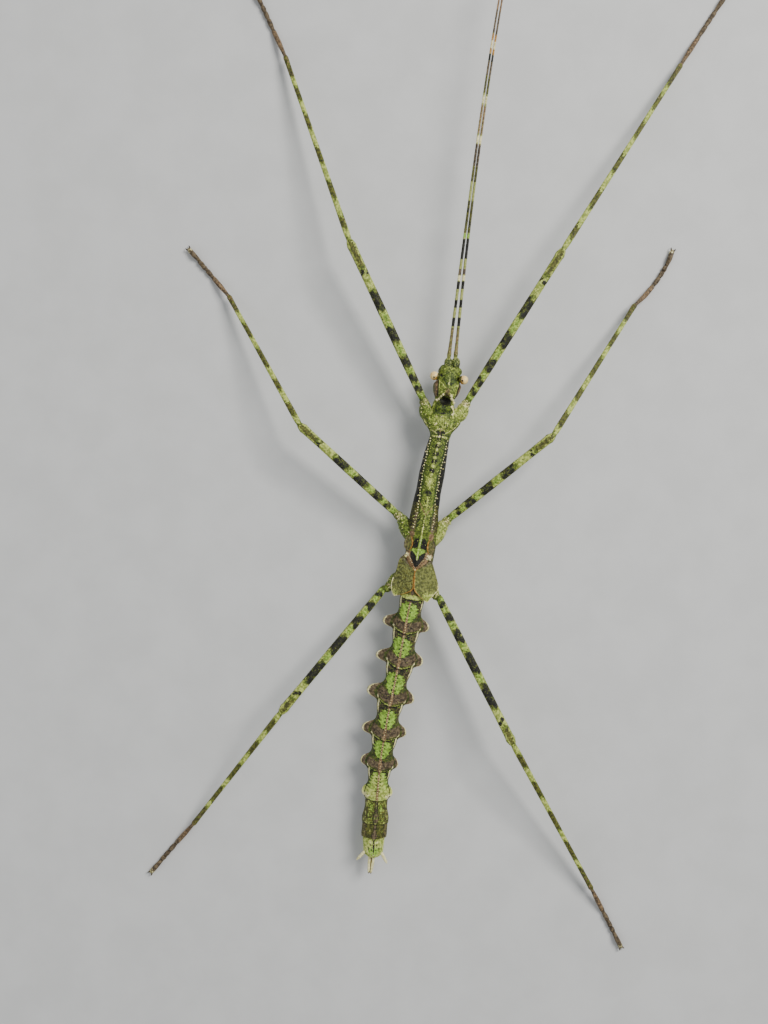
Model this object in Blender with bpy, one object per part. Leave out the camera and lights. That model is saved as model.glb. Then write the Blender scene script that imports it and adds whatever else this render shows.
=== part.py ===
"""Giant stick insect, a still life-size model of a female with short wing pads.

It stands on its six feet on the floor, Z = 0, with its head towards +Y and its back up. Sizes below
are in millimetres and are turned into metres where a mesh is made. A bearing is the compass direction
of a run seen from above: 0 is straight ahead, +Y, and 90 is to the animal's right, +X.
"""

import math
from collections import namedtuple

import bmesh
import bpy
from mathutils import Vector

MM = 0.001
GAP = 0.3
SIDES = {"left": -1, "right": 1}

# ---------------------------------------------------------------- body axis, from the head backwards

# length along the body, bearing, and height of the axis at the hind end
Segment = namedtuple("Segment", "name length bearing height")
HEAD_FRONT = Vector((21.6, 46.6, 9.5))
BODY = (
    Segment("head", 11.33, 13.1, 9.6),
    Segment("prothorax", 11.6, 6.6, 10.5),
    Segment("mesothorax", 31.6, 9.8, 11.0),
    Segment("metathorax", 20.9, 9.6, 10.0),
    Segment("abdomen_2", 10.8, 10.7, 9.5),
    Segment("abdomen_3", 11.2, 10.3, 9.0),
    Segment("abdomen_4", 12.3, 14.0, 8.5),
    Segment("abdomen_5", 11.2, 9.2, 8.0),
    Segment("abdomen_6", 10.1, 8.9, 7.5),
    Segment("abdomen_7", 9.4, 5.6, 7.0),
    Segment("abdomen_8", 7.6, 3.6, 6.6),
    Segment("abdomen_9", 4.9, 4.8, 6.3),
    Segment("abdomen_10", 6.4, 1.8, 6.0),
)

# ---------------------------------------------------------------- body cross-sections

# place along the segment, 0 to 1, then half width, rise above the axis and drop below it
Station = namedtuple("Station", "at half_width rise drop")
HEAD_SHAPE = (
    Station(0.00, 2.7, 1.0, 1.6),
    Station(0.08, 3.3, 1.7, 2.3),
    Station(0.24, 3.9, 2.2, 2.6),
    Station(0.42, 4.3, 2.5, 2.7),
    Station(0.56, 4.4, 2.6, 2.7),
    Station(0.70, 4.2, 2.8, 2.6),
    Station(0.84, 3.8, 3.5, 2.5),
    Station(0.93, 3.3, 3.5, 2.4),
    Station(1.00, 2.7, 1.6, 2.1),
)
PROTHORAX_SHAPE = (
    Station(0.00, 2.7, 1.6, 2.1),
    Station(0.10, 3.2, 2.3, 2.5),
    Station(0.25, 3.5, 2.9, 2.7),
    Station(0.40, 4.0, 2.6, 2.8),
    Station(0.50, 5.4, 2.4, 2.8),
    Station(0.60, 5.6, 2.4, 2.8),
    Station(0.72, 4.7, 2.5, 2.7),
    Station(0.84, 3.4, 2.5, 2.6),
    Station(1.00, 3.0, 2.4, 2.5),
)
MESOTHORAX_SHAPE = (
    Station(0.00, 3.0, 2.5, 2.5),
    Station(0.12, 3.2, 2.6, 2.7),
    Station(0.40, 3.5, 2.8, 2.8),
    Station(0.58, 3.4, 2.8, 2.8),
    Station(0.74, 4.0, 2.9, 3.0),
    Station(0.88, 4.5, 3.0, 3.1),
    Station(0.96, 4.6, 3.0, 3.0),
    Station(1.00, 4.3, 2.6, 2.8),
)
METATHORAX_SHAPE = (
    Station(0.00, 4.3, 2.5, 2.8),
    Station(0.12, 4.5, 2.3, 2.9),
    Station(0.34, 4.4, 2.3, 3.0),
    Station(0.50, 4.2, 2.4, 3.1),
    Station(0.80, 4.1, 2.3, 3.0),
    Station(0.96, 3.9, 2.2, 2.8),
    Station(1.00, 3.6, 2.1, 2.6),
)

# Abdomen: half widths of each plate at its front end, waist, widest place and hind end, its rise above the
# axis, and how far its side lobes stand out.
Plate = namedtuple("Plate", "name front waist flare hind rise lobe_left lobe_right")
PLATES = (
    Plate("abdomen_2", 3.8, 3.4, 4.7, 4.2, 2.5, 3.3, 2.2),
    Plate("abdomen_3", 4.1, 3.4, 4.8, 4.3, 2.5, 3.5, 2.1),
    Plate("abdomen_4", 4.2, 3.3, 4.9, 4.3, 2.5, 3.5, 2.1),
    Plate("abdomen_5", 4.1, 3.3, 4.8, 4.2, 2.4, 2.9, 1.6),
    Plate("abdomen_6", 4.0, 3.2, 4.5, 4.0, 2.3, 1.7, 0.9),
    Plate("abdomen_7", 3.6, 3.0, 4.0, 3.7, 2.2, 1.4, 1.4),
    Plate("abdomen_8", 3.5, 3.4, 4.2, 4.1, 2.2, 0.0, 0.0),
    Plate("abdomen_9", 3.9, 3.9, 4.0, 3.8, 2.1, 0.0, 0.0),
    Plate("abdomen_10", 3.4, 3.2, 3.0, 2.2, 1.9, 0.0, 0.0),
)
LOBED_STATIONS = (0.0, 0.15, 0.32, 0.5, 0.56, 0.64, 0.76, 0.85, 0.9, 1.0)
PLAIN_STATIONS = (0.0, 0.3, 0.75, 1.0)
WAIST_AT = 0.32
FLARE_AT = 0.75
LOBE_CENTRE = 0.70
LOBE_HALF_LENGTH = 0.2
LOBE_DROOP = 0.15
DROP_TO_RISE = 0.95
LOBE_THICKNESS = 0.56

# Angles from straight up, in degrees, of the points of half a body ring, above and below its side edge.
UPPER_ANGLES = (0, 28, 54, 76)
LOWER_ANGLES = (104, 128, 154, 180)

# ---------------------------------------------------------------- head parts

EYE_RADIUS = 1.32
EYE_BACKS = {"left": 4.9, "right": 4.0}
EYE_OUT = 4.6
EYE_LIFT = 1.1
# the jaws under the head: how far back they start, how far below the axis, and their size
MOUTH_BACK = 0.3
MOUTH_BELOW = 2.3
MOUTH_LENGTH = 5.2
MOUTH_HALF_WIDTH = 2.6
MOUTH_RISE = 1.0
MOUTH_DEPTH = 2.4
# place along the jaws, 0 to 1, and share of their full size
MOUTH_SHAPE = ((0.0, 0.55), (0.2, 0.9), (0.55, 1.0), (0.85, 0.85), (1.0, 0.6))
PALP_RADIUS = 0.34
# back, out and down from the head's axis, from the root to the tip
PALP_PATH = ((2.2, 2.85, 3.6), (0.9, 3.1, 4.4), (0.1, 2.6, 5.2), (0.2, 2.0, 5.9))

# Feelers: the base joint runs from its root to the collar, both given back from the front of the head and out
# to the right, and the whip starts at the collar.
SCAPE_ROOTS = {"left": (0.7, -1.75), "right": (0.0, 1.6)}
COLLARS = {"left": (-2.0, -1.6), "right": (-2.5, 0.45)}
ROOT_LIFT = 0.6
COLLAR_LIFT = 0.8
SCAPE_RADIUS = 1.1
# place along the base joint, 0 to 1, and share of its radius
SCAPE_SHAPE = ((0.0, 0.85), (0.4, 1.0), (0.8, 0.8))
FEELER_LENGTH = 127.6
FEELER_RADII = (0.52, 0.27)
FEELER_RINGS = 26
# bearing and height at the start, at the middle and at the tip
FEELER_BEARINGS = {"left": (7.2, 7.5, 10.1), "right": (5.2, 7.4, 10.3)}
FEELER_HEIGHTS = {"left": (10.4, 13.6, 15.4), "right": (10.4, 12.2, 13.6)}

# ---------------------------------------------------------------- wing pads

PAD_THICKNESS = 0.6
FORE_PAD_BACK = 0.8
FORE_PAD_LENGTH = 4.6
FORE_PAD_INNER = 2.2
FORE_PAD_OUTERS = {"left": 5.2, "right": 4.5}
HIND_PAD_BACK = 7.8
HIND_PAD_LENGTHS = {"left": 12.0, "right": 12.8}
HIND_PAD_REACH = {"left": 7.1, "right": 7.9}
HIND_PAD_TIP_OUT = {"left": 5.2, "right": 3.9}
# place along the hind pad, 0 to 1, its inner edge as a share of the way from the seam to the tip, and its
# outer edge as a share of its full reach
HIND_PAD_ROWS = (
    (0.0, 0.72, 0.62),
    (0.14, 0.42, 0.76),
    (0.3, 0.0, 0.86),
    (0.6, 0.0, 0.96),
    (0.76, 0.08, 1.0),
    (0.9, 0.45, 0.88),
    (1.0, 1.0, 0.62),
)
HIND_PAD_TIP_HALF_WIDTH = 0.4
PAD_LEAST_WIDTH = 0.6
PAD_COLUMNS = 4
PAD_RIDGE_RISE = 2.6
PAD_SIDE_FALL = 1.7

# ---------------------------------------------------------------- legs

# a run seen from above, its bearing, and the height of its far end
Run = namedtuple("Run", "length bearing height")
# the hip is given back from the front of its segment, out from the midline, and up from the floor
Leg = namedtuple("Leg", "segment back out height coxa femur tibia tarsus toe_bearing")
LEGS = {
    "fore_left": Leg(
        "prothorax", 4.9, 4.65, 8.6,
        Run(5.0, -17, 8.8), Run(54.0, -25.4, 13.5), Run(66.0, -18.6, 2.7), Run(25.4, -24, 1.0), -26,
    ),
    "fore_right": Leg(
        "prothorax", 4.3, 5.4, 8.6,
        Run(5.2, 31, 8.8), Run(55.0, 32.2, 13.5), Run(74.6, 32.6, 2.7), Run(29.0, 33, 1.0), 34,
    ),
    "mid_left": Leg(
        "mesothorax", 30.4, 3.9, 8.8,
        Run(7.2, -45, 8.8), Run(40.4, -47.6, 14.0), Run(48.9, -29.3, 2.7), Run(20.6, -40, 1.0), -41,
    ),
    "mid_right": Leg(
        "mesothorax", 30.8, 3.6, 8.8,
        Run(6.9, 44, 8.8), Run(41.1, 51.1, 14.0), Run(51.5, 33.4, 2.7), Run(22.4, 37, 1.0), 20,
    ),
    "hind_left": Leg(
        "metathorax", 16.0, 4.4, 8.4,
        Run(5.4, -110, 8.6), Run(50.3, -139.9, 14.0), Run(48.4, -142.5, 2.7), Run(21.6, -139, 1.0), -139,
    ),
    "hind_right": Leg(
        "metathorax", 16.2, 3.6, 8.4,
        Run(5.1, 128, 8.6), Run(51.0, 153.2, 14.0), Run(56.3, 151.5, 2.7), Run(22.2, 153, 1.0), 154,
    ),
}

# place along the piece, 0 to 1, and radius
COXA_SHAPE = ((0.0, 2.1), (0.3, 2.15), (0.62, 1.75), (0.72, 1.4), (0.86, 1.5), (1.0, 1.2))
FEMUR_SHAPE = ((0.0, 1.1), (0.04, 1.3), (0.2, 1.45), (0.5, 1.5), (0.8, 1.4), (0.95, 1.5), (1.0, 1.25))
TIBIA_SHAPE = ((0.0, 0.95), (0.05, 1.05), (0.3, 0.92), (0.7, 0.8), (0.93, 0.8), (1.0, 0.88))
# where each of the five foot joints ends, and the place and radius of the three rings that shape each one
TARSOMERE_ENDS = (0.0, 0.42, 0.56, 0.66, 0.74, 1.0)
TARSOMERE_SHAPE = ((0.04, 0.55), (0.5, 0.8), (0.92, 0.76))
TARSUS_CENTRE_HEIGHT = 0.66
TOE_ARCH = 0.5
# radii and heights are at the tip and at the middle of the pair
CLAW_SPREAD = 0.75
CLAW_REACH = 1.5
CLAW_RADII = (0.24, 0.3)
CLAW_HEIGHTS = (0.4, 0.95)
CLAW_STEPS = 3

# ---------------------------------------------------------------- tail parts

CERCUS_LENGTH = 3.1
CERCUS_RADIUS = 0.42
CERCUS_BEARINGS = {"left": -138, "right": 154}
CERCUS_BACKS = {"left": 5.0, "right": 5.5}
CERCUS_OUTS = {"left": 3.2, "right": 3.0}
CERCUS_FALL = 0.4
# place along the piece, 0 to 1, and share of its full size
CERCUS_SHAPE = ((0.0, 0.9), (0.35, 1.0), (0.8, 0.8), (1.0, 0.62))
OVIPOSITOR_SHAPE = ((0.0, 1.0), (0.4, 1.0), (0.8, 0.85), (1.0, 0.6))
OVIPOSITOR_LENGTH = 5.4
OVIPOSITOR_HALF_WIDTH = 1.15
OVIPOSITOR_HALF_HEIGHT = 0.62
OVIPOSITOR_LEFT = 0.48
OVIPOSITOR_BELOW = 0.4
OVIPOSITOR_TURN = 5.0
OVIPOSITOR_SIDES = 12
# how deep the groove between the two blades is, and how wide, as shares of their height and width
GROOVE_DEPTH = 0.45
GROOVE_WIDTH = 0.35

# ---------------------------------------------------------------- colours

GREEN = (0.22, 0.36, 0.07, 1.0)
OLIVE = (0.16, 0.20, 0.06, 1.0)
YELLOW_GREEN = (0.42, 0.50, 0.13, 1.0)
BROWN = (0.14, 0.10, 0.06, 1.0)
CREAM = (0.72, 0.62, 0.38, 1.0)
TAN = (0.55, 0.45, 0.25, 1.0)
COLOURS = (
    ("head", GREEN),
    ("mouthparts", BROWN),
    ("palp", TAN),
    ("eye", CREAM),
    ("antenna", YELLOW_GREEN),
    ("prothorax", YELLOW_GREEN),
    ("mesothorax", GREEN),
    ("metathorax", OLIVE),
    ("forewing", OLIVE),
    ("hindwing", OLIVE),
    ("abdomen_7", YELLOW_GREEN),
    ("abdomen", GREEN),
    ("cercus", CREAM),
    ("ovipositor", TAN),
    ("coxa", YELLOW_GREEN),
    ("femur", GREEN),
    ("tibia", OLIVE),
    ("tarsus", BROWN),
    ("claws", BROWN),
)
ROUGHNESS = 0.55


# ================================================================ shared helpers


def heading(bearing):
    """The level unit vector along a bearing in degrees."""
    angle = math.radians(bearing)
    return Vector((math.sin(angle), math.cos(angle), 0.0))


def across(bearing):
    """The level unit vector to the right of a bearing."""
    return heading(bearing + 90.0)


def between(table, at):
    """Straight interpolation in rows whose first value rises. Returns the row's other values."""
    for low, high in zip(table, table[1:]):
        if at <= high[0]:
            share = (at - low[0]) / (high[0] - low[0])
            return [a + (b - a) * share for a, b in zip(low[1:], high[1:])]
    return list(table[-1][1:])


def smoothstep(value):
    value = min(max(value, 0.0), 1.0)
    return value * value * (3.0 - 2.0 * value)


def material_for(name):
    """One material for each piece, coloured by the first rule whose start fits its name."""
    colour = next(value for start, value in COLOURS if name.startswith(start))
    material = bpy.data.materials.new(name)
    material.use_nodes = True
    shader = material.node_tree.nodes["Principled BSDF"]
    shader.inputs["Base Color"].default_value = colour
    shader.inputs["Roughness"].default_value = ROUGHNESS
    shader.inputs["Metallic"].default_value = 0.0
    return material


def add_object(name, points, faces):
    """Makes an object from points in millimetres, with its faces pointing out."""
    mesh = bpy.data.meshes.new(name)
    mesh.from_pydata([point * MM for point in points], [], faces)
    shell = bmesh.new()
    shell.from_mesh(mesh)
    bmesh.ops.recalc_face_normals(shell, faces=shell.faces)
    shell.to_mesh(mesh)
    shell.free()
    mesh.shade_smooth()
    mesh.set_sharp_from_angle(angle=math.radians(50))
    piece = bpy.data.objects.new(name, mesh)
    bpy.context.scene.collection.objects.link(piece)
    mesh.materials.append(material_for(name))
    return piece


def loft(name, rings):
    """A closed piece through rings of equal point counts, with a flat cap at each end."""
    count = len(rings[0])
    points = [point for ring in rings for point in ring]
    faces = [tuple(range(count)), tuple(range(len(points) - count, len(points)))]
    for row in range(len(rings) - 1):
        for column in range(count):
            following = (column + 1) % count
            here, there = row * count, (row + 1) * count
            faces.append((here + column, here + following, there + following, there + column))
    return add_object(name, points, faces)


def tube(name, path, radii, sides, keel=0.0, flatten=1.0, floor=None):
    """A loft of round rings along a path. keel lifts every other point, and floor flattens what is lower."""
    rings = []
    for index, (centre, radius) in enumerate(zip(path, radii)):
        ahead = path[min(index + 1, len(path) - 1)] - path[max(index - 1, 0)]
        right = ahead.cross(Vector((0, 0, 1))).normalized()
        up = right.cross(ahead).normalized()
        ring = []
        for side in range(sides):
            angle = 2.0 * math.pi * (side + 0.5) / sides
            reach = radius * (1.0 + (keel if side % 2 else -keel))
            point = centre + right * (reach * math.cos(angle)) + up * (reach * math.sin(angle) * flatten)
            if floor is not None:
                point.z = max(point.z, floor)
            ring.append(point)
        rings.append(ring)
    return loft(name, rings)


def cutter(piece):
    """Keeps a piece out of the model: it only cuts others."""
    piece.hide_render = True
    piece.display_type = "WIRE"
    return piece


def cut_away(piece, tool):
    """Takes the tool's volume out of a piece."""
    cut = piece.modifiers.new("clearance", "BOOLEAN")
    cut.operation = "DIFFERENCE"
    cut.solver = "EXACT"
    cut.object = tool


# ================================================================ body axis


def joints_of_body():
    """The axis points where one body segment meets the next, from the front of the head to the tail."""
    here = HEAD_FRONT.copy()
    found = [here]
    for segment in BODY:
        here = here - heading(segment.bearing) * segment.length
        here.z = segment.height
        found.append(here)
    return found


JOINTS = joints_of_body()
NAMES = [segment.name for segment in BODY]


def axis_at(name, at):
    """Centre and bearing of the body axis at a share of a segment, on a smooth curve through the joints."""
    index = NAMES.index(name)
    start, end = JOINTS[index], JOINTS[index + 1]
    before = JOINTS[max(index - 1, 0)]
    after = JOINTS[min(index + 2, len(JOINTS) - 1)]
    start_slope = (end - before) * (0.5 if index else 1.0)
    end_slope = (after - start) * (0.5 if index + 2 < len(JOINTS) else 1.0)
    run = end - start
    start_slope = start_slope.normalized() * run.length
    end_slope = end_slope.normalized() * run.length
    a, b = at * at * (3.0 - 2.0 * at), at * (1.0 - at) * (1.0 - at)
    c = at * at * (1.0 - at)
    centre = start + run * a + start_slope * b - end_slope * c
    slope = run * (6.0 * at * (1.0 - at)) + start_slope * (1.0 - 4.0 * at + 3.0 * at * at)
    slope = slope - end_slope * (2.0 * at - 3.0 * at * at)
    bearing = math.degrees(math.atan2(-slope.x, -slope.y))
    return centre, bearing


def body_point(name, back, out, up=0.0):
    """A point given back from a segment's front, out to the right of its midline and up from its axis."""
    length = BODY[NAMES.index(name)].length
    centre, bearing = axis_at(name, back / length)
    return centre + across(bearing) * out + Vector((0, 0, up))


# ================================================================ body segments


def half_ring(half_width, rise, drop, lobe):
    """(out, up) points of half a cross-section from the top to the bottom, with a thin edge at the side."""
    points = []
    for angle in UPPER_ANGLES:
        turn = math.radians(angle)
        points.append((half_width * math.sin(turn), rise * math.cos(turn)))
    edge = LOBE_THICKNESS / 2.0
    points.append((half_width + lobe, edge - lobe * LOBE_DROOP))
    points.append((half_width + lobe, -edge - lobe * LOBE_DROOP))
    for angle in LOWER_ANGLES:
        turn = math.radians(angle)
        points.append((half_width * math.sin(turn), drop * math.cos(turn)))
    return points


def body_ring(centre, bearing, half_width, rise, drop, lobes=(0.0, 0.0)):
    """A whole cross-section, down the right side and up the left."""
    sideways, up = across(bearing), Vector((0, 0, 1))
    right = half_ring(half_width, rise, drop, lobes[1])
    left = half_ring(half_width, rise, drop, lobes[0])
    ring = [centre + sideways * out + up * lift for out, lift in right]
    ring += [centre - sideways * out + up * lift for out, lift in reversed(left[1:-1])]
    return ring


def inside_ends(name, at):
    """Moves a share of a segment inwards, so that the two ends stop half a gap short of the joints."""
    trim = GAP / 2.0 / BODY[NAMES.index(name)].length
    return trim + at * (1.0 - 2.0 * trim)


def body_segment(name, shape, grow=0.0, label=None):
    """A head or thorax segment through its stations. grow makes it larger all round, for a cutter."""
    rings = []
    for at, half_width, rise, drop in shape:
        centre, bearing = axis_at(name, inside_ends(name, at))
        rings.append(body_ring(centre, bearing, half_width + grow, rise + grow, drop + grow))
    return loft(label or name, rings)


def plate_width(plate, at):
    """Half width of an abdomen plate: it narrows to a waist, flares over its hind part and then tucks in."""
    taken_in = (plate.front - plate.waist) * smoothstep(at / WAIST_AT)
    flare = (plate.flare - plate.waist) * smoothstep((at - WAIST_AT) / (FLARE_AT - WAIST_AT))
    tuck = (plate.flare - plate.hind) * smoothstep((at - FLARE_AT) / (1.0 - FLARE_AT))
    return plate.front - taken_in + flare - tuck


def lobe_reach(reach, at):
    """How far a rounded side lobe stands out at a share of its plate."""
    offset = (at - LOBE_CENTRE) / LOBE_HALF_LENGTH
    if abs(offset) >= 1.0:
        return 0.0
    return reach * math.sqrt(1.0 - offset * offset)


def abdomen_plate(plate):
    lobed = plate.lobe_left > 0.0
    rings = []
    for at in LOBED_STATIONS if lobed else PLAIN_STATIONS:
        centre, bearing = axis_at(plate.name, inside_ends(plate.name, at))
        lobes = (lobe_reach(plate.lobe_left, at), lobe_reach(plate.lobe_right, at))
        drop = plate.rise * DROP_TO_RISE
        rings.append(body_ring(centre, bearing, plate_width(plate, at), plate.rise, drop, lobes))
    return loft(plate.name, rings)


# ================================================================ head parts


def eye(side, head_cutter):
    """A ball on the side of the head, cut flat where the head is."""
    centre = body_point("head", EYE_BACKS[side], SIDES[side] * EYE_OUT, EYE_LIFT)
    ball = bmesh.new()
    bmesh.ops.create_uvsphere(ball, u_segments=12, v_segments=8, radius=EYE_RADIUS)
    points = [vertex.co + centre for vertex in ball.verts]
    faces = [tuple(vertex.index for vertex in face.verts) for face in ball.faces]
    ball.free()
    cut_away(add_object("eye_" + side, points, faces), head_cutter)


def mouthparts(head_cutter):
    """The jaws and lips: a rounded block under the front of the head."""
    rings = []
    bearing = axis_at("head", 0.2)[1]
    for at, size in MOUTH_SHAPE:
        centre = body_point("head", MOUTH_BACK + MOUTH_LENGTH * at, 0.0, -MOUTH_BELOW)
        rings.append(body_ring(centre, bearing, MOUTH_HALF_WIDTH * size, MOUTH_RISE, MOUTH_DEPTH * size))
    cut_away(loft("mouthparts", rings), head_cutter)


def palp(side):
    """A short jointed feeler beside the mouth, hanging forwards and down."""
    path = [body_point("head", back, SIDES[side] * out, -down) for back, out, down in PALP_PATH]
    radii = [PALP_RADIUS * share for share in (1.0, 1.0, 1.0, 0.8)]
    tube("palp_" + side, path, radii, 6)


def feeler_path(side):
    """Base joint, then the long whip, whose bearing and height change smoothly along it."""
    start = body_point("head", *SCAPE_ROOTS[side], ROOT_LIFT)
    collar = body_point("head", *COLLARS[side], COLLAR_LIFT)
    path = [start.lerp(collar, at) for at, _ in SCAPE_SHAPE] + [collar]
    radii = [SCAPE_RADIUS * share for _, share in SCAPE_SHAPE] + [FEELER_RADII[0] * 1.2]
    bearings = list(zip((0.0, 0.5, 1.0), FEELER_BEARINGS[side]))
    heights = list(zip((0.0, 0.5, 1.0), FEELER_HEIGHTS[side]))
    here, step = collar.copy(), FEELER_LENGTH / FEELER_RINGS
    for ring in range(1, FEELER_RINGS + 1):
        at = ring / FEELER_RINGS
        here = here + heading(between(bearings, at)[0]) * step
        here.z = between(heights, at)[0]
        path.append(here)
        radii.append(FEELER_RADII[0] + (FEELER_RADII[1] - FEELER_RADII[0]) * at)
    return path, radii


def antenna(side, head_cutter):
    path, radii = feeler_path(side)
    cut_away(tube("antenna_" + side, path, radii, 6), head_cutter)


# ================================================================ wing pads


def pad_height(out):
    """Height above the body axis of the arched underside of the pads."""
    return PAD_RIDGE_RISE - PAD_SIDE_FALL * (out / HIND_PAD_REACH["left"]) ** 2


def pad(name, side, rows):
    """An arched plate from rows of (back, inner, outer) distances on the metathorax."""
    sign = SIDES[side]
    top, bottom = [], []
    for back, inner, outer in rows:
        for column in range(PAD_COLUMNS + 1):
            out = inner + (outer - inner) * column / PAD_COLUMNS
            lift = pad_height(out)
            bottom.append(body_point("metathorax", back, sign * out, lift))
            top.append(body_point("metathorax", back, sign * out, lift + PAD_THICKNESS))
    points = top + bottom
    faces = sheet_faces(len(rows), PAD_COLUMNS + 1)
    add_object(name + side, points, faces)


def sheet_faces(rows, columns):
    """Faces of a closed slab whose top grid of points is followed by its bottom grid."""
    below = rows * columns
    faces = []
    for row in range(rows - 1):
        for column in range(columns - 1):
            a = row * columns + column
            quad = (a, a + 1, a + columns + 1, a + columns)
            faces.append(quad)
            faces.append(tuple(below + corner for corner in reversed(quad)))
    rim = list(range(columns))
    rim += [row * columns + columns - 1 for row in range(1, rows)]
    rim += [(rows - 1) * columns + column for column in range(columns - 2, -1, -1)]
    rim += [row * columns for row in range(rows - 2, 0, -1)]
    for here, there in zip(rim, rim[1:] + rim[:1]):
        faces.append((here, there, below + there, below + here))
    return faces


def fore_pad(side):
    """A small rounded scale."""
    rows = []
    for at in (0.0, 0.25, 0.5, 0.75, 1.0):
        bulge = math.sqrt(max(0.1, 1.0 - (2.0 * at - 0.9) ** 2))
        inner = FORE_PAD_INNER + 1.0 * (1.0 - bulge)
        outer = FORE_PAD_OUTERS[side] - 1.2 * (1.0 - bulge)
        rows.append((FORE_PAD_BACK + FORE_PAD_LENGTH * at, inner, outer))
    pad("forewing_pad_", side, rows)


def hind_pad(side):
    """A shield that widens backwards along the midline, then narrows to a blunt tip."""
    length, reach, tip = HIND_PAD_LENGTHS[side], HIND_PAD_REACH[side], HIND_PAD_TIP_OUT[side]
    seam = GAP / 2.0
    rows = []
    for at, inner_share, outer_share in HIND_PAD_ROWS:
        inner = seam + (tip - HIND_PAD_TIP_HALF_WIDTH - seam) * inner_share
        outer = max(reach * outer_share, inner + PAD_LEAST_WIDTH)
        rows.append((HIND_PAD_BACK + length * at, inner, outer))
    pad("hindwing_pad_", side, rows)


# ================================================================ legs


def leg_corners(leg, side):
    """Hip, femur base, knee, ankle and toe, each at the end of the run before."""
    segment_length = BODY[NAMES.index(leg.segment)].length
    centre, bearing = axis_at(leg.segment, leg.back / segment_length)
    hip = centre + across(bearing) * (SIDES[side] * leg.out)
    hip.z = leg.height
    corners = [hip]
    for run in (leg.coxa, leg.femur, leg.tibia, leg.tarsus):
        there = corners[-1] + heading(run.bearing) * run.length
        there.z = run.height
        corners.append(there)
    return corners


def joint_room(corners, index, radius):
    """How far a piece stops short of a corner: half a gap, and more where the limb bends."""
    arriving = corners[index] - corners[index - 1]
    leaving = corners[index + 1] - corners[index]
    return GAP / 2.0 + radius * math.tan(arriving.angle(leaving) / 2.0)


def straight(corners, index, shape):
    """Path and radii of the straight piece from one corner of a leg to the next."""
    start, end = corners[index], corners[index + 1]
    along = (end - start).normalized()
    if index > 0:
        start = start + along * joint_room(corners, index, shape[0][1])
    end = end - along * joint_room(corners, index + 1, shape[-1][1])
    path = [start.lerp(end, at) for at, _ in shape]
    return path, [radius for _, radius in shape]


def tarsus_path(ankle, run, toe_bearing):
    """The foot's centre line: down from the ankle, along the floor, and turning to its toe bearing."""
    here = ankle.copy()
    here.z = 0.0
    total, turn = 0.0, toe_bearing - run.bearing
    path, radii = [], []
    for start, end in zip(TARSOMERE_ENDS, TARSOMERE_ENDS[1:]):
        for share, radius in TARSOMERE_SHAPE:
            at = start + (end - start) * share
            step = run.length * (at - total)
            here = here + heading(run.bearing + turn * (2.0 * at - 1.0)) * step
            total = at
            settle = smoothstep(at / TARSOMERE_ENDS[1])
            toe = max(at - TARSOMERE_ENDS[-2], 0.0) / (1.0 - TARSOMERE_ENDS[-2])
            arch = TOE_ARCH * math.sin(math.pi * toe)
            height = ankle.z + (TARSUS_CENTRE_HEIGHT - ankle.z) * settle + arch
            path.append(Vector((here.x, here.y, height)))
            radii.append(radius)
    return path, radii


def claws(name, toe, ahead):
    """A pair of hooks as one bow from the left tip, round the end of the foot, to the right tip."""
    ahead = Vector((ahead.x, ahead.y, 0.0)).normalized()
    right = ahead.cross(Vector((0, 0, 1)))
    start = toe + ahead * (GAP + CLAW_RADII[1])
    path, radii = [], []
    for step in range(-CLAW_STEPS, CLAW_STEPS + 1):
        share = step / CLAW_STEPS
        turn = math.radians(90.0) * share
        out, reach = CLAW_SPREAD * math.sin(turn), CLAW_REACH * (1.0 - math.cos(turn))
        point = start + right * out + ahead * reach
        point.z = CLAW_HEIGHTS[1] + (CLAW_HEIGHTS[0] - CLAW_HEIGHTS[1]) * abs(share) ** 1.5
        path.append(point)
        radii.append(CLAW_RADII[1] + (CLAW_RADII[0] - CLAW_RADII[1]) * abs(share))
    tube(name, path, radii, 6)


def build_leg(key, leg, thorax_cutter):
    side = key.split("_")[1]
    corners = leg_corners(leg, side)
    path, radii = straight(corners, 0, COXA_SHAPE)
    cut_away(tube("coxa_" + key, path, radii, 10), thorax_cutter)
    path, radii = straight(corners, 1, FEMUR_SHAPE)
    tube("femur_" + key, path, radii, 8, keel=0.07)
    path, radii = straight(corners, 2, TIBIA_SHAPE)
    tube("tibia_" + key, path, radii, 8, keel=0.05)
    foot_start = corners[3] + heading(leg.tarsus.bearing) * GAP
    path, radii = tarsus_path(foot_start, leg.tarsus, leg.toe_bearing)
    tube("tarsus_" + key, path, radii, 8, floor=0.0)
    claws("claws_" + key, path[-1], path[-1] - path[-2])


# ================================================================ tail


def cercus(side):
    """A short cream prong beside the tail."""
    root = body_point("abdomen_10", CERCUS_BACKS[side], SIDES[side] * CERCUS_OUTS[side], GAP)
    tip = root + heading(CERCUS_BEARINGS[side]) * CERCUS_LENGTH
    tip.z = root.z - CERCUS_FALL
    path = [root.lerp(tip, at) for at, _ in CERCUS_SHAPE]
    radii = [CERCUS_RADIUS * share for _, share in CERCUS_SHAPE]
    tube("cercus_" + side, path, radii, 8)


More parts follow.
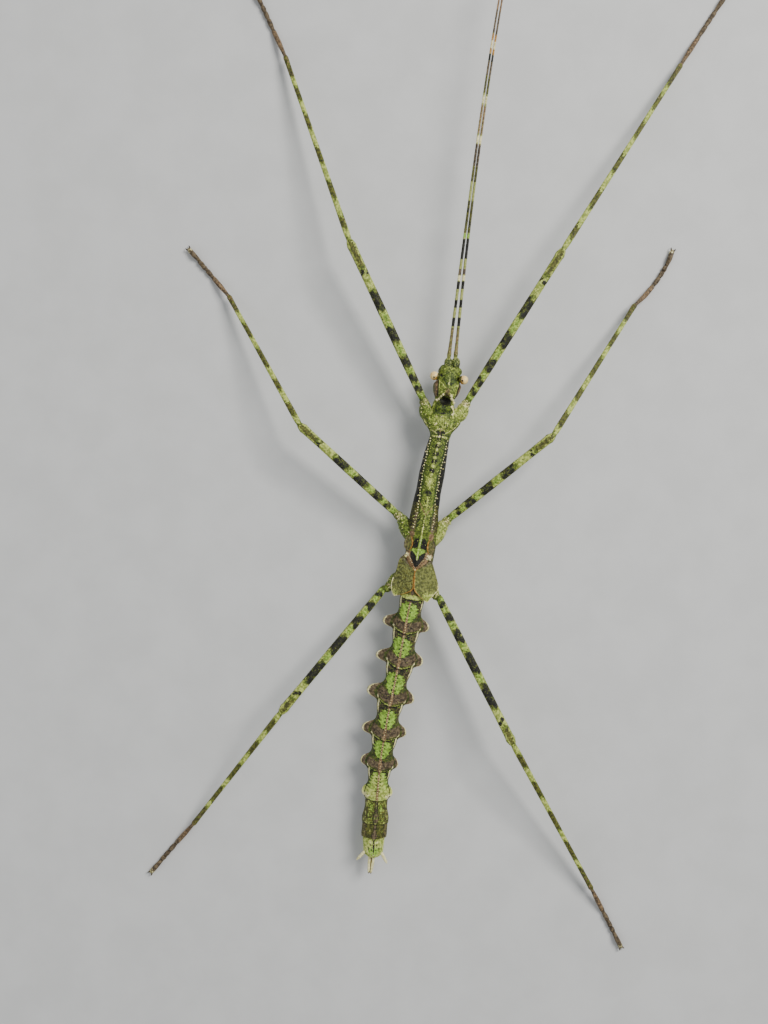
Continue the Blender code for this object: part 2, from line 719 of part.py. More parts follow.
def ovipositor():
    """Two blades side by side, made as one piece with a groove along it."""
    end, bearing = axis_at("abdomen_10", 1.0)
    rings = []
    for at, size in OVIPOSITOR_SHAPE:
        centre = end - heading(bearing + OVIPOSITOR_TURN) * (GAP / 2.0 + OVIPOSITOR_LENGTH * at)
        centre = centre - across(bearing) * OVIPOSITOR_LEFT
        centre.z -= OVIPOSITOR_BELOW
        ring = []
        for side in range(OVIPOSITOR_SIDES):
            angle = 2.0 * math.pi * side / OVIPOSITOR_SIDES
            out = OVIPOSITOR_HALF_WIDTH * size * math.cos(angle)
            groove = 1.0 - GROOVE_DEPTH * math.exp(-((math.cos(angle) / GROOVE_WIDTH) ** 2))
            lift = OVIPOSITOR_HALF_HEIGHT * size * math.sin(angle) * groove
            ring.append(centre + across(bearing) * out + Vector((0, 0, lift)))
        rings.append(ring)
    loft("ovipositor", rings)


# ================================================================ the whole animal


def clear_scene():
    for item in list(bpy.data.objects):
        bpy.data.objects.remove(item)


def centre_on_floor():
    """Moves every piece so that the origin lies on the floor under the middle of the whole."""
    bpy.context.view_layer.update()
    pieces = [item for item in bpy.data.objects if item.type == "MESH"]
    corners = [vertex.co for item in pieces if not item.hide_render for vertex in item.data.vertices]
    middle = Vector((0.0, 0.0, 0.0))
    for axis in (0, 1):
        middle[axis] = (min(c[axis] for c in corners) + max(c[axis] for c in corners)) / 2.0
    for item in pieces:
        item.location = -middle


def main():
    clear_scene()
    shapes = {
        "head": HEAD_SHAPE,
        "prothorax": PROTHORAX_SHAPE,
        "mesothorax": MESOTHORAX_SHAPE,
        "metathorax": METATHORAX_SHAPE,
    }
    cutters = {}
    for name, shape in shapes.items():
        body_segment(name, shape)
        cutters[name] = cutter(body_segment(name, shape, grow=GAP, label=name + "_clearance"))
    for plate in PLATES:
        abdomen_plate(plate)
    mouthparts(cutters["head"])
    for side in SIDES:
        eye(side, cutters["head"])
        palp(side)
        antenna(side, cutters["head"])
        fore_pad(side)
        hind_pad(side)
        cercus(side)
    ovipositor()
    for key, leg in LEGS.items():
        build_leg(key, leg, cutters[leg.segment])
    centre_on_floor()


main()
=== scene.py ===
"""The looks of a giant stick insect: painted skin, eyes, feelers, wing pads, teeth and claws.

Lengths are in millimetres until a mesh is made. On the body, "back" is the distance along the axis from just
before the head, "out" is the distance from the axis to the animal's right, "off" is the same from the line
down the middle of its back, and "turn" is the angle round the axis, from straight up towards the right. "at"
is a share of a segment, from 0 to 1. A painted field is 0.5 on the edge of a mark and 1 in its middle. A
field a little under 0.5 shows as scattered specks.
"""

import math
from collections import namedtuple

import bmesh
import bpy
import numpy as np
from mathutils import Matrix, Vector
from mathutils.bvhtree import BVHTree


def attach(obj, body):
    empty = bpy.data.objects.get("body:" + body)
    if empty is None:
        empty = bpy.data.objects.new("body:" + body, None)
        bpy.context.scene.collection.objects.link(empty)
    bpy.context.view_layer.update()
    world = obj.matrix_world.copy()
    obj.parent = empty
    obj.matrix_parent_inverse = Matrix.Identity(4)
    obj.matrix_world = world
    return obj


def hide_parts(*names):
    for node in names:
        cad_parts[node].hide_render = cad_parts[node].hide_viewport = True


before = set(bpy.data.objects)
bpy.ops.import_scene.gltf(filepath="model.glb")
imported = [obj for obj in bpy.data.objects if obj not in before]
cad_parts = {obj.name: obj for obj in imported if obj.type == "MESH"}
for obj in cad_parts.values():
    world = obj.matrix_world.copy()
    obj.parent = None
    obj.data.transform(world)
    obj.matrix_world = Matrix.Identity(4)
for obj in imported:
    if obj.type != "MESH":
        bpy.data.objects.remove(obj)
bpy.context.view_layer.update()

MM = 0.001
UP = np.array([0.0, 0.0, 1.0])
SIDES = {"left": -1, "right": 1}
RANDOM = np.random.default_rng(7)

# ---------------------------------------------------------------- body

BODY = ("head", "prothorax", "mesothorax", "metathorax") + tuple(f"abdomen_{n}" for n in range(2, 11))
HEAD_START = 0.27
HALF_GAP = 0.15
CAD_RING_POINTS = 18
RING_SPACING = 0.28
# degrees between the points of a ring on the back, near the side edge, and on the belly
TOP_STEP, EDGE_STEP, BELLY_STEP = 3.2, 1.5, 5.6
EDGE_HALF = 9.0
LOBE_DROOP = 0.15
LOBE_REACH = 3.3
LOBE_SWEEP = 0.12
SMALL_LOBES = 9
FRONT_ROUND = 1.1
TAIL_ROUND = 1.6
# behind each body segment: how far its hind margin lies forward at the sides, and how soft the step is
Margin = namedtuple("Margin", "bow softness")
MARGINS = (
    Margin(0.0, 1.2), Margin(3.0, 0.5), Margin(0.0, 0.8), Margin(0.8, 0.4),
    Margin(2.0, 0.35), Margin(2.0, 0.35), Margin(2.0, 0.35), Margin(1.9, 0.35),
    Margin(1.4, 0.35), Margin(0.7, 0.35), Margin(0.4, 0.3), Margin(0.4, 0.3),
)
# the line down the middle of the back lies a little beside the axis, as the animal leans: back, out
MIDLINE = (
    (0.0, 0.0), (3.0, 0.0), (6.0, 0.3), (10.5, 0.55), (14.0, 0.2), (20.0, -0.2), (24.0, -0.2), (30.0, -0.6),
    (36.0, -0.95), (42.0, -0.75), (48.0, -0.45), (56.0, -0.55), (65.0, -0.8), (73.0, -0.35), (80.0, -0.55),
    (98.0, -0.55), (108.0, 0.0), (125.0, -0.2), (135.0, 0.1), (160.0, 0.1),
)
# how far the long thorax bends to one side of the straight axis, and how much its flanks bulge
LEAN = ((23.5, 0.0), (28.6, -0.40), (35.6, -0.60), (43.0, -0.70), (47.0, -0.75), (52.0, -0.50), (56.0, 0.0))
BULGE = (
    (15.5, 0.0), (18.0, 0.35), (20.5, 0.55), (22.6, 0.25), (23.8, 0.0),
    (28.6, 0.20), (35.6, 0.42), (43.0, 0.38), (47.0, 0.10), (52.0, 0.0),
)

# ---------------------------------------------------------------- legs

LEG_PAIRS = ("fore", "mid", "hind")
LEG_SPACING = 0.5
LEG_SIDES = 18
LEG_PARTS = ("coxa", "femur", "tibia", "tarsus")
# how far a leg's root in the thorax lies behind the line of its hip
ROOT_SHIFT = {"fore": 1.0, "mid": 2.6, "hind": 0.6}
ROOT_RADII = {"fore": (2.2, 2.45, 2.35), "mid": (2.6, 2.95, 2.75), "hind": (2.2, 2.45, 2.35)}

# ---------------------------------------------------------------- colours, as linear light

GREEN = (0.150, 0.205, 0.018)
GREEN_DEEP = (0.048, 0.070, 0.005)
# fields from the lowest layer to the highest, each with its light and its deep colour
LAYERS = (
    ("olive", (0.125, 0.122, 0.018), (0.045, 0.045, 0.006)),
    ("deep", (0.045, 0.080, 0.006), (0.015, 0.027, 0.002)),
    ("brown", (0.165, 0.120, 0.064), (0.055, 0.038, 0.020)),
    ("bright", (0.340, 0.560, 0.065), (0.150, 0.270, 0.022)),
    ("pale", (0.560, 0.620, 0.150), (0.240, 0.300, 0.045)),
    ("pink", (0.330, 0.205, 0.100), (0.150, 0.090, 0.040)),
    ("orange", (0.560, 0.290, 0.055), (0.320, 0.150, 0.020)),
    ("dark", (0.012, 0.012, 0.004), (0.004, 0.004, 0.002)),
    ("cream", (0.950, 0.880, 0.480), (0.720, 0.660, 0.280)),
)
FIELDS = tuple(name for name, _, _ in LAYERS)


# ================================================================ small helpers


def unit(vectors):
    vectors = np.asarray(vectors, float)
    return vectors / np.linalg.norm(vectors, axis=-1, keepdims=True)


def smoothstep(value):
    value = np.clip(value, 0.0, 1.0)
    return value * value * (3.0 - 2.0 * value)


def table(rows, place):
    """Straight interpolation in a two-column table."""
    columns = np.array(rows, float).T
    return np.interp(place, columns[0], columns[1])


def fade(distance):
    """A mark from its distance: 1 in its middle, 0.5 on its edge, where the distance is 1."""
    return np.clip(1.0 - 0.5 * distance, 0.0, 1.0)


def oval_distance(x, y, centre, size):
    return np.sqrt(((x - centre[0]) / size[0]) ** 2 + ((y - centre[1]) / size[1]) ** 2)


def blob(x, y, centre, size):
    """A round mark."""
    return fade(oval_distance(x, y, centre, size))


def band(x, low, high, soft):
    """A mark between two values of x. It fades over soft to each side of them."""
    inside = np.minimum(x - low, high - x)
    return np.clip(0.5 + 0.5 * inside / soft, 0.0, 1.0)


def past(x, low, soft):
    """Everything past a value of x, fading over soft to each side of it."""
    return np.clip(0.5 + 0.5 * (x - low) / soft, 0.0, 1.0)


def near(x, half, soft):
    """Everything within a half width of zero."""
    return past(half - np.abs(x), 0.0, soft)


def stroke(x, y, start, end, half_width):
    """A straight line from one point to another."""
    run = np.array(end, float) - np.array(start, float)
    share = np.clip(((x - start[0]) * run[0] + (y - start[1]) * run[1]) / float(run @ run), 0.0, 1.0)
    return fade(np.hypot(x - start[0] - share * run[0], y - start[1] - share * run[1]) / half_width)


def ring_mark(x, y, centre, size, half_width):
    """A loop round a centre. half_width is a share of its size."""
    return fade(np.abs(oval_distance(x, y, centre, size) - 1.0) / half_width)


def blurred(values, width):
    """A row of numbers smoothed over about width of them, with its ends held."""
    reach = int(3 * width) + 1
    weights = np.exp(-0.5 * (np.arange(-reach, reach + 1) / width) ** 2)
    padded = np.pad(values, reach, mode="edge")
    return np.convolve(padded, weights / weights.sum(), mode="valid")


def path_lengths(points):
    """How far along a path each of its points is."""
    return np.concatenate([[0.0], np.cumsum(np.linalg.norm(np.diff(points, axis=0), axis=1))])


def smooth_path(points, spacing):
    """Places and points about a spacing apart on a smooth curve through the given points."""
    points = np.asarray(points, float)
    runs = np.diff(points, axis=0)
    lengths = np.linalg.norm(runs, axis=1)
    beyond = np.vstack([points[:1], points, points[-1:]])
    slopes = unit(beyond[2:] - beyond[:-2])
    places, found = [], []
    start = 0.0
    for index, (run, length) in enumerate(zip(runs, lengths)):
        steps = max(int(round(length / spacing)), 1)
        last = index == len(runs) - 1
        for share in np.arange(steps + last) / steps:
            bend = share * share * (3.0 - 2.0 * share)
            leaving = share * (1.0 - share) ** 2 * length
            arriving = share * share * (1.0 - share) * length
            point = points[index] + run * bend + slopes[index] * leaving - slopes[index + 1] * arriving
            places.append(start + share * length)
            found.append(point)
        start += length
    return np.array(places), np.array(found)


# ================================================================ reading the frame


def corner_points(name):
    """The corner points of a CAD node, each once."""
    corners = np.array([vertex.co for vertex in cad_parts[name].data.vertices]) / MM
    return np.unique(corners.round(3), axis=0)


def solid_tree(name):
    """A CAD node's surface, to measure with rays."""
    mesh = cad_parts[name].data
    points = [vertex.co / MM for vertex in mesh.vertices]
    return BVHTree.FromPolygons(points, [tuple(face.vertices) for face in mesh.polygons])


def ring_centres(name, count, towards, limit=None):
    """Centres and mean radii of a lofted node's rings in order along a direction, or of its last ones."""
    points = corner_points(name)
    points = points[np.argsort(points @ np.asarray(towards, float))]
    rings = (len(points) // count) if limit is None else limit
    points = points[len(points) - rings * count:].reshape(rings, count, 3)
    centres = points.mean(axis=1)
    radii = np.linalg.norm(points - centres[:, None], axis=2).mean(axis=1)
    return centres, radii


def end_centre(name, towards):
    """Where the body's axis meets the flat end of a body node that faces a direction."""
    points = corner_points(name)
    ring = points[np.argsort(points @ towards)[-CAD_RING_POINTS:]]
    out = (ring - ring.mean(axis=0)) @ unit(np.cross(towards, UP))
    return ring[np.abs(out) > 0.98 * np.abs(out).max()].mean(axis=0)


def body_joints():
    """The axis points from the front of the head, past each meeting of two segments, to the tail."""
    middles = np.array([corner_points(name).mean(axis=0) for name in BODY])
    ahead = unit(np.vstack([middles[0] - middles[1], middles[:-2] - middles[2:], middles[-2] - middles[-1]]))
    fronts = [end_centre(name, forward) for name, forward in zip(BODY, ahead)]
    hinds = [end_centre(name, -forward) for name, forward in zip(BODY, ahead)]
    meetings = [(hind + front) / 2.0 for hind, front in zip(hinds, fronts[1:])]
    return np.array([fronts[0] + ahead[0] * HALF_GAP] + meetings + [hinds[-1] - ahead[-1] * HALF_GAP])


class Axis:
    """The body's axis as a smooth curve, read at any place back."""

    def __init__(self, joints):
        self.joints = HEAD_START + path_lengths(joints)
        places, self.points = smooth_path(joints, 0.2)
        self.places = places + HEAD_START
        ahead = -np.gradient(self.points, axis=0)
        ahead[:, 2] = 0.0
        ahead = unit(ahead)
        self.rights = np.stack([ahead[:, 1], -ahead[:, 0], np.zeros(len(ahead))], axis=1)
        self.length = self.joints[-1]

    def read(self, rows, back):
        return np.stack([np.interp(back, self.places, rows[:, i]) for i in range(3)], axis=-1)

    def centre(self, back):
        return self.read(self.points, back)

    def right(self, back):
        return unit(self.read(self.rights, back))

    def ahead(self, back):
        right = self.right(back)
        return np.stack([-right[..., 1], right[..., 0], np.zeros(right.shape[:-1])], axis=-1)


AXIS = Axis(body_joints())


def reach(tree, start, direction):
    """How far a solid's surface is from a point inside it."""
    hit = tree.ray_cast(Vector(start), Vector(direction))
    return np.nan if hit[3] is None else hit[3]


def measured_profile(index):
    """Rise, drop, half width and side lobes along one body segment, measured on its solid."""
    tree = solid_tree(BODY[index])
    low, high = AXIS.joints[index], AXIS.joints[index + 1]
    back = np.linspace(low + 0.2, high - 0.2, max(int((high - low) / 0.12), 12))
    rows = []
    for place in back:
        centre, right = AXIS.centre(place), AXIS.right(place)
        rise, drop = reach(tree, centre, UP), reach(tree, centre, -UP)
        high_point = centre + UP * rise * 0.5
        half = (reach(tree, high_point, right) + reach(tree, high_point, -right)) / 2.0 / 0.85
        low_point = centre - UP * 0.3
        lobes = [max(reach(tree, low_point, right * side) - half, 0.0) for side in (-1, 1)]
        rows.append([rise, drop, half] + lobes)
    columns = np.array(rows).T
    softness = (5.0, 5.0, 4.0, 2.5, 2.5)
    return back, [blurred(column, width) for column, width in zip(columns, softness)]


PROFILES = [measured_profile(index) for index in range(len(BODY))]


# ================================================================ body surface


def eye_places():
    """How far back each eye is, by its sign: -1 on the left, 1 on the right."""
    found = {}
    for side, sign in SIDES.items():
        middle = corner_points("eye_" + side).mean(axis=0)
        runs = np.linalg.norm(AXIS.points[:, :2] - middle[:2], axis=1)
        found[sign] = float(AXIS.places[np.argmin(runs)])
    return found


EYE_PLACES = eye_places()
SOCKET_DEPTH = 0.85
SOCKET_LENGTH = 1.75
# the low ridge along the back, behind the pronotum
KEEL_HEIGHT, KEEL_HALF = 0.16, 0.35

# rises and dents in the skin, on the middle or on each side of it: back, off, length, width and height
RELIEFS = (
    (1.8, 0.0, 1.1, 0.5, -0.35), (1.6, 1.7, 0.9, 0.8, 0.25), (4.5, 2.6, 0.8, 0.6, -0.35),
    (5.0, 3.6, 1.5, 0.6, 0.45), (5.4, 0.0, 1.6, 1.4, 0.25), (9.0, 0.0, 1.3, 0.8, 0.45),
    (12.2, 0.0, 1.1, 1.5, -1.0), (14.4, 1.5, 0.85, 0.85, 0.5), (16.0, 0.0, 0.5, 2.4, -0.3),
    (22.4, 0.0, 0.6, 0.8, -0.3), (23.8, 0.0, 0.35, 2.6, 0.2), (55.2, 3.1, 1.2, 0.7, 0.40),
    (61.8, 3.7, 0.7, 0.7, 0.50), (60.0, 1.3, 2.6, 0.8, -0.30),
)


def relief_height(back, off):
    """How far the rises and dents lift the skin."""
    height = 0.0
    for place, beside, length, width, rise in RELIEFS:
        for middle in sorted({-beside, beside}):
            height = height + rise * np.exp(-((back - place) / length) ** 2 - ((off - middle) / width) ** 2)
    return height


def midline(back):
    return table(MIDLINE, back) - table(LEAN, back)


def ring_turns():
    """Angles of the points round a ring, crowded together at the thin side edges."""
    right = list(np.arange(0.0, 90.0 - EDGE_HALF, TOP_STEP))
    right += list(np.arange(90.0 - EDGE_HALF, 90.0 + EDGE_HALF, EDGE_STEP))
    right += list(np.arange(90.0 + EDGE_HALF, 180.0, BELLY_STEP))
    return np.radians(right + [180.0] + [360.0 - angle for angle in reversed(right[1:])])


def margin_places(turn):
    """Where each hind margin crosses a line along the body at a turn: forward at the sides of the back."""
    on_back = smoothstep(np.cos(turn) * 2.5 + 0.6)
    bow = np.sin(turn) ** 2 * on_back * 0.85
    return [AXIS.joints[index + 1] - margin.bow * bow for index, margin in enumerate(MARGINS)]


def section(back, turn):
    """The segment, the place along it and the size of the body, with a step at each bowed hind margin."""
    margins = margin_places(turn)
    values = [np.interp(back, PROFILES[0][0], row) for row in PROFILES[0][1][:3]]
    segment, start, end = np.zeros(back.shape), np.zeros(back.shape), margins[0] + 0.0 * back
    for index, margin in enumerate(MARGINS):
        passed = smoothstep((back - margins[index]) / margin.softness + 0.5)
        ahead, behind = PROFILES[index], PROFILES[index + 1]
        for row in range(3):
            step = np.interp(back, behind[0], behind[1][row]) - np.interp(back, ahead[0], ahead[1][row])
            values[row] = values[row] + step * passed
        beyond = back > margins[index]
        segment = np.where(beyond, index + 1, segment)
        start = np.where(beyond, margins[index], start)
        following = margins[index + 1] if index + 1 < len(MARGINS) else AXIS.length
        end = np.where(beyond, following, end)
    lobes = []
    for row in (3, 4):
        reaches = [np.interp(back, places, rows[row], left=0.0, right=0.0) for places, rows in PROFILES]
        lobes.append(LOBE_REACH * (np.max(reaches, axis=0) / LOBE_REACH) ** 0.75)
        lobes[-1] = lobes[-1] * np.where(segment == SMALL_LOBES, 0.55, 1.0)
    rise, drop, half = values
    return segment, (back - start) / (end - start), rise, drop, half, lobes


def plate_lift(segment, at):
    """How the plates of the abdomen slope up to their hind margins, as a share of the rise."""
    plate = smoothstep(segment - 3.0)
    return 1.0 - plate * 0.15 * (1.0 - np.clip(at, 0.0, 1.0)) ** 1.5


def end_rounding(back):
    """Shrinks the rings at the two ends of the body to close them with round caps."""
    front = np.clip((back - HEAD_START) / FRONT_ROUND, 0.0, 1.0)
    tail = np.clip((AXIS.length - back) / TAIL_ROUND, 0.0, 1.0)
    return np.sqrt(1.0 - (1.0 - front) ** 2) ** 0.8 * np.sqrt(1.0 - (1.0 - tail) ** 2) ** 0.6


def body_surface(back, turn):
    """Skin points for places back and turns round the body, with what the painting needs to know there."""
    back, turn = np.broadcast_arrays(np.asarray(back, float), np.asarray(turn, float))
    segment, at, rise, drop, half, lobes = section(back, turn)
    sine, cosine = np.sin(turn), np.cos(turn)
    rounding = end_rounding(back)
    edge = np.clip(1.0 - np.abs(np.degrees(np.arccos(np.clip(cosine, -1, 1))) - 90.0) / EDGE_HALF, 0.0, 1.0)
    spike = edge ** 0.85
    lobe = np.where(sine < 0.0, lobes[0], lobes[1]) + 0.12
    for sign, place in EYE_PLACES.items():
        socket = np.exp(-((back - place) / SOCKET_LENGTH) ** 4) * (sine * sign > 0.0)
        half = half - SOCKET_DEPTH * socket
    half = half + table(BULGE, back)
    out = (half * sine + np.sign(sine) * lobe * spike) * rounding
    off = out - midline(back)
    lift = np.where(cosine > 0.0, rise * plate_lift(segment, at), drop) * cosine
    lift = (lift - LOBE_DROOP * lobe * spike) * rounding
    on_back = smoothstep(cosine * 3.0)
    keel = KEEL_HEIGHT * np.exp(-(off / KEEL_HALF) ** 2) * smoothstep((back - 24.0) / 4.0)
    lift = lift + (relief_height(back, off) + keel) * on_back
    sweep = LOBE_SWEEP * (lobe - 0.12) * spike
    aside = out + table(LEAN, back)
    points = AXIS.centre(back) + AXIS.right(back) * aside[..., None] + UP * lift[..., None]
    points = points - AXIS.ahead(back) * sweep[..., None]
    facts = dict(back=back, turn=turn, segment=segment, at=at, out=out, off=off, half=half, lobe=lobe,
                 spike=spike, on_back=on_back)
    return points, facts


def skin_points(back, off):
    """Points and outward directions on the upper skin, for arrays of places back and off."""
    back = np.asarray(back, float)
    out = np.asarray(off, float) + midline(back)
    half = np.array([half_width(place) for place in back])
    turn = np.arcsin(np.clip(out / half, -0.97, 0.97))
    here = body_surface(back, turn)[0]
    behind = body_surface(back + 0.15, turn)[0]
    beside = body_surface(back, turn + 0.05)[0]
    normal = unit(np.cross(behind - here, here - beside))
    normal = normal * np.sign(normal[:, 2:3])
    return here, normal


def segment_of(back):
    return int(np.clip(np.searchsorted(AXIS.joints, back) - 1, 0, len(BODY) - 1))


def half_width(back):
    places, rows = PROFILES[segment_of(back)]
    return float(np.interp(back, places, rows[2]) + table(BULGE, back))


# ================================================================ painting the body


class Paint:
    """Fields painted over a grid of points. A mark counts inside a mask, where it is the strongest so far.

    x runs along what is painted and y across it.
    """

    def __init__(self, shape):
        self.fields = {name: np.zeros(shape) for name in FIELDS}
        self.aim(None, None)

    def aim(self, x, y, mask=1.0):
        self.x, self.y, self.mask = x, y, mask

    def add(self, name, mark, strength=1.0):
        self.fields[name] = np.maximum(self.fields[name], mark * self.mask * strength)

    def clear(self, name, mark):
        self.fields[name] = np.minimum(self.fields[name], 1.0 - mark * self.mask)

    def blobs(self, name, places, size, strength=1.0, sides=(-1, 1)):
        """Round marks of one size, on each side of the middle."""
        for x, y in places:
            for side in sides:
                self.add(name, blob(self.x, self.y, (x, side * y), size), strength)

    def marks(self, rows, sides=(-1, 1)):
        """Round marks and strokes on each side of the middle.

        A row is a field, a strength and a place, then a size for a round mark, or an end and a half width for
        a stroke.
        """
        for name, strength, (x, y), *shape in rows:
            if len(shape) == 1:
                self.blobs(name, [(x, y)], shape[0], strength, sides)
                continue
            end, half_width = shape
            for side in sides:
                line = stroke(self.x, self.y, (x, side * y), (end[0], side * end[1]), half_width)
                self.add(name, line, strength)


# for rows that say their own side, or lie on the middle
AS_GIVEN = (1,)
HEAD_MARKS = (
    ("pale", 0.50, (3.0, 0.0), (5.4, 0.0), 0.22),
    ("pale", 0.85, (5.4, 0.0), (7.0, 0.0), 0.24),
    ("cream", 0.72, (6.4, 0.0), (0.6, 0.24)),
    ("deep", 0.9, (4.8, 2.3), (6.9, 0.6), 0.45),
    ("dark", 0.62, (6.9, 0.75), (0.36, 0.30)),
    ("dark", 0.9, (4.4, 2.75), (0.6, 0.36)),
    ("pale", 0.75, (6.4, 2.9), (8.3, 0.7), 0.13),
    ("pale", 0.75, (6.2, 3.1), (10.4, 2.5), 0.15),
    ("pale", 0.50, (8.4, 1.9), (1.7, 0.9)),
    ("pale", 0.62, (9.9, 1.9), (0.9, 0.7)),
    ("pale", 0.72, (1.4, 0.8), (2.4, 2.1), 0.2),
    ("pale", 0.8, (0.9, 0.7), (2.0, 0.2), 0.16),
    ("deep", 0.62, (2.0, 0.4), (3.6, 2.4), 0.24),
    ("dark", 1.0, (0.9, 0.5), (0.36, 0.34)),
    ("dark", 0.56, (2.6, 3.4), (0.9, 0.4)),
    ("brown", 0.62, (3.0, 3.7), (1.3, 0.6)),
    # painted shade in the hollow behind the crown of the head
    ("dark", 1.0, (12.4, 0.0), (1.6, 2.0)),
    ("dark", 1.0, (13.3, 0.0), (0.6, 1.2)),
)
# the pink band from behind each eye to the neck
CHEEK_MARKS = (
    ("olive", 1.0, (6.0, 4.0), (11.0, 3.3), 0.85),
    ("pink", 0.62, (6.0, 4.0), (11.0, 3.35), 0.58),
    ("brown", 1.0, (6.0, 4.0), (11.0, 3.35), 0.70),
    ("dark", 0.85, (6.4, 3.4), (11.0, 2.9), 0.20),
)


def paint_head(paint, f):
    back, off = f["back"], f["off"]
    on_head = band(back, -1.0, 11.4, 0.5)
    paint.aim(back, off, f["on_back"])
    paint.add("pale", on_head, 0.36)
    paint.add("dark", on_head, 0.27)
    brow = table(((2.6, 0.2), (3.8, 2.2), (4.8, 2.6), (7.2, 0.0)), back)
    paint.add("deep", near(off, brow, 0.5) * band(back, 2.4, 7.3, 0.5), 0.58)
    paint.marks(HEAD_MARKS)
    wedge = band(back, 7.8, 11.2, 0.5) * near(off, 0.3 + 0.42 * np.clip(back - 8.0, 0.0, 3.0), 0.4)
    paint.add("pink", wedge, 0.47)
    paint.add("brown", wedge, 0.56)
    paint.add("dark", wedge * band(back, 9.4, 12.0, 1.0), 0.46)
    paint.aim(back, off, on_head)
    paint.marks(CHEEK_MARKS)


# blotches on the pronotum, which differ from side to side
PALE_BLOTCHES = (
    (17.6, 0.9), (17.9, -1.5), (18.9, -0.3), (19.2, 1.9), (19.6, -2.3), (20.5, 0.6),
    (20.9, -0.9), (17.2, 3.4), (18.2, -3.8), (20.1, 3.2), (16.9, 0.1), (21.6, 0.2),
)
DEEP_BLOTCHES = (
    (18.3, 0.7), (18.6, -2.6), (19.5, 0.9), (20.2, -1.7), (18.9, 3.9),
    (21.2, 1.9), (17.5, -0.5), (19.8, -3.7), (17.9, 2.4),
)
PRONOTUM_MARKS = (
    ("dark", 0.62, (15.4, 2.4), (16.4, 1.0), 0.26),
    ("pale", 0.8, (17.6, 6.2), (20.6, 4.4), 0.22),
    ("pale", 0.8, (20.6, 4.4), (22.9, 1.2), 0.22),
    ("bright", 0.50, (18.8, 3.0), (2.2, 1.6)),
    ("pale", 1.0, (13.2, 3.2), (16.6, 3.8), 0.3),
    ("dark", 0.75, (16.2, 0.0), (0.45, 1.1)),
    ("pale", 0.62, (18.6, 0.0), (1.9, 2.6)),
    ("dark", 1.0, (22.4, 0.65), (0.5, 0.75)),
    ("dark", 1.0, (22.2, 0.42), (25.2, 0.42), 0.24),
    ("pink", 1.0, (21.4, 0.0), (23.2, 0.0), 0.13),
    ("cream", 1.0, (23.7, 0.0), (0.4, 0.38)),
)
RIGHT_COLLAR = (
    ("cream", 1.0, (13.7, 2.5), (15.0, 3.7), 0.40),
    ("cream", 1.0, (15.0, 3.6), (16.4, 3.0), 0.28),
)


def paint_pronotum(paint, f):
    back, off = f["back"], f["off"]
    paint.aim(back, off, f["on_back"])
    paint.add("pale", band(back, 11.8, 23.4, 0.4), 0.35)
    paint.add("dark", band(back, 11.8, 23.4, 0.4), 0.25)
    paint.blobs("pale", PALE_BLOTCHES, (0.50, 0.42), 0.9, AS_GIVEN)
    paint.blobs("deep", DEEP_BLOTCHES, (0.46, 0.40), 0.85, AS_GIVEN)
    field = band(back, 12.8, 16.8, 0.4) * near(off, 3.0, 0.5)
    paint.clear("pale", field)
    paint.add("deep", field, 0.56)
    for side in (-1, 1):
        paint.clear("deep", blob(back, off, (14.6, side * 1.45), (0.7, 0.7)))
        paint.add("dark", ring_mark(back, off, (14.7, side * 1.45), (1.25, 1.15), 0.20), 0.62)
    paint.marks(PRONOTUM_MARKS)
    paint.marks(RIGHT_COLLAR, AS_GIVEN)
    paint.add("pale", band(back, 23.45, 23.95, 0.2) * near(off, 2.5, 0.3))
    paint.add("deep", band(back, 23.0, 23.4, 0.15), 0.9)


# half width of the paler back of the long thorax, between its dark flanks
PALE_BACK = ((23.0, 2.4), (28.0, 2.7), (36.0, 2.5), (43.0, 2.4), (48.0, 2.5), (54.0, 2.4))
BEADS = ((25.9, 0.0), (28.0, 0.0), (30.5, 0.0), (33.2, 0.0), (36.0, 0.0))
MESONOTUM_MARKS = (
    ("dark", 1.0, (41.6, 0.5), (0.56, 0.50)),
    ("pale", 0.8, (38.2, 0.0), (2.2, 1.1)),
    ("pale", 1.0, (38.4, 0.0), (1.9, 0.8)),
    ("cream", 0.58, (38.4, 0.0), (1.5, 0.40)),
    ("pale", 0.62, (43.0, 0.0), (48.0, 0.0), 0.9),
    ("pink", 0.7, (45.2, 2.3), (48.7, 0.0), 0.28),
    ("pale", 0.8, (45.8, 1.9), (48.9, 0.0), 0.2),
    ("brown", 0.75, (48.6, 2.9), (53.6, 3.1), 0.8),
    ("dark", 0.75, (50.2, 1.9), (2.0, 0.45)),
    ("pale", 0.62, (49.0, 0.0), (53.4, 0.0), 0.22),
    ("pale", 1.0, (53.0, 0.0), (56.2, 0.0), 0.24),
    ("cream", 0.8, (51.0, 0.0), (54.6, 0.0), 0.13),
)


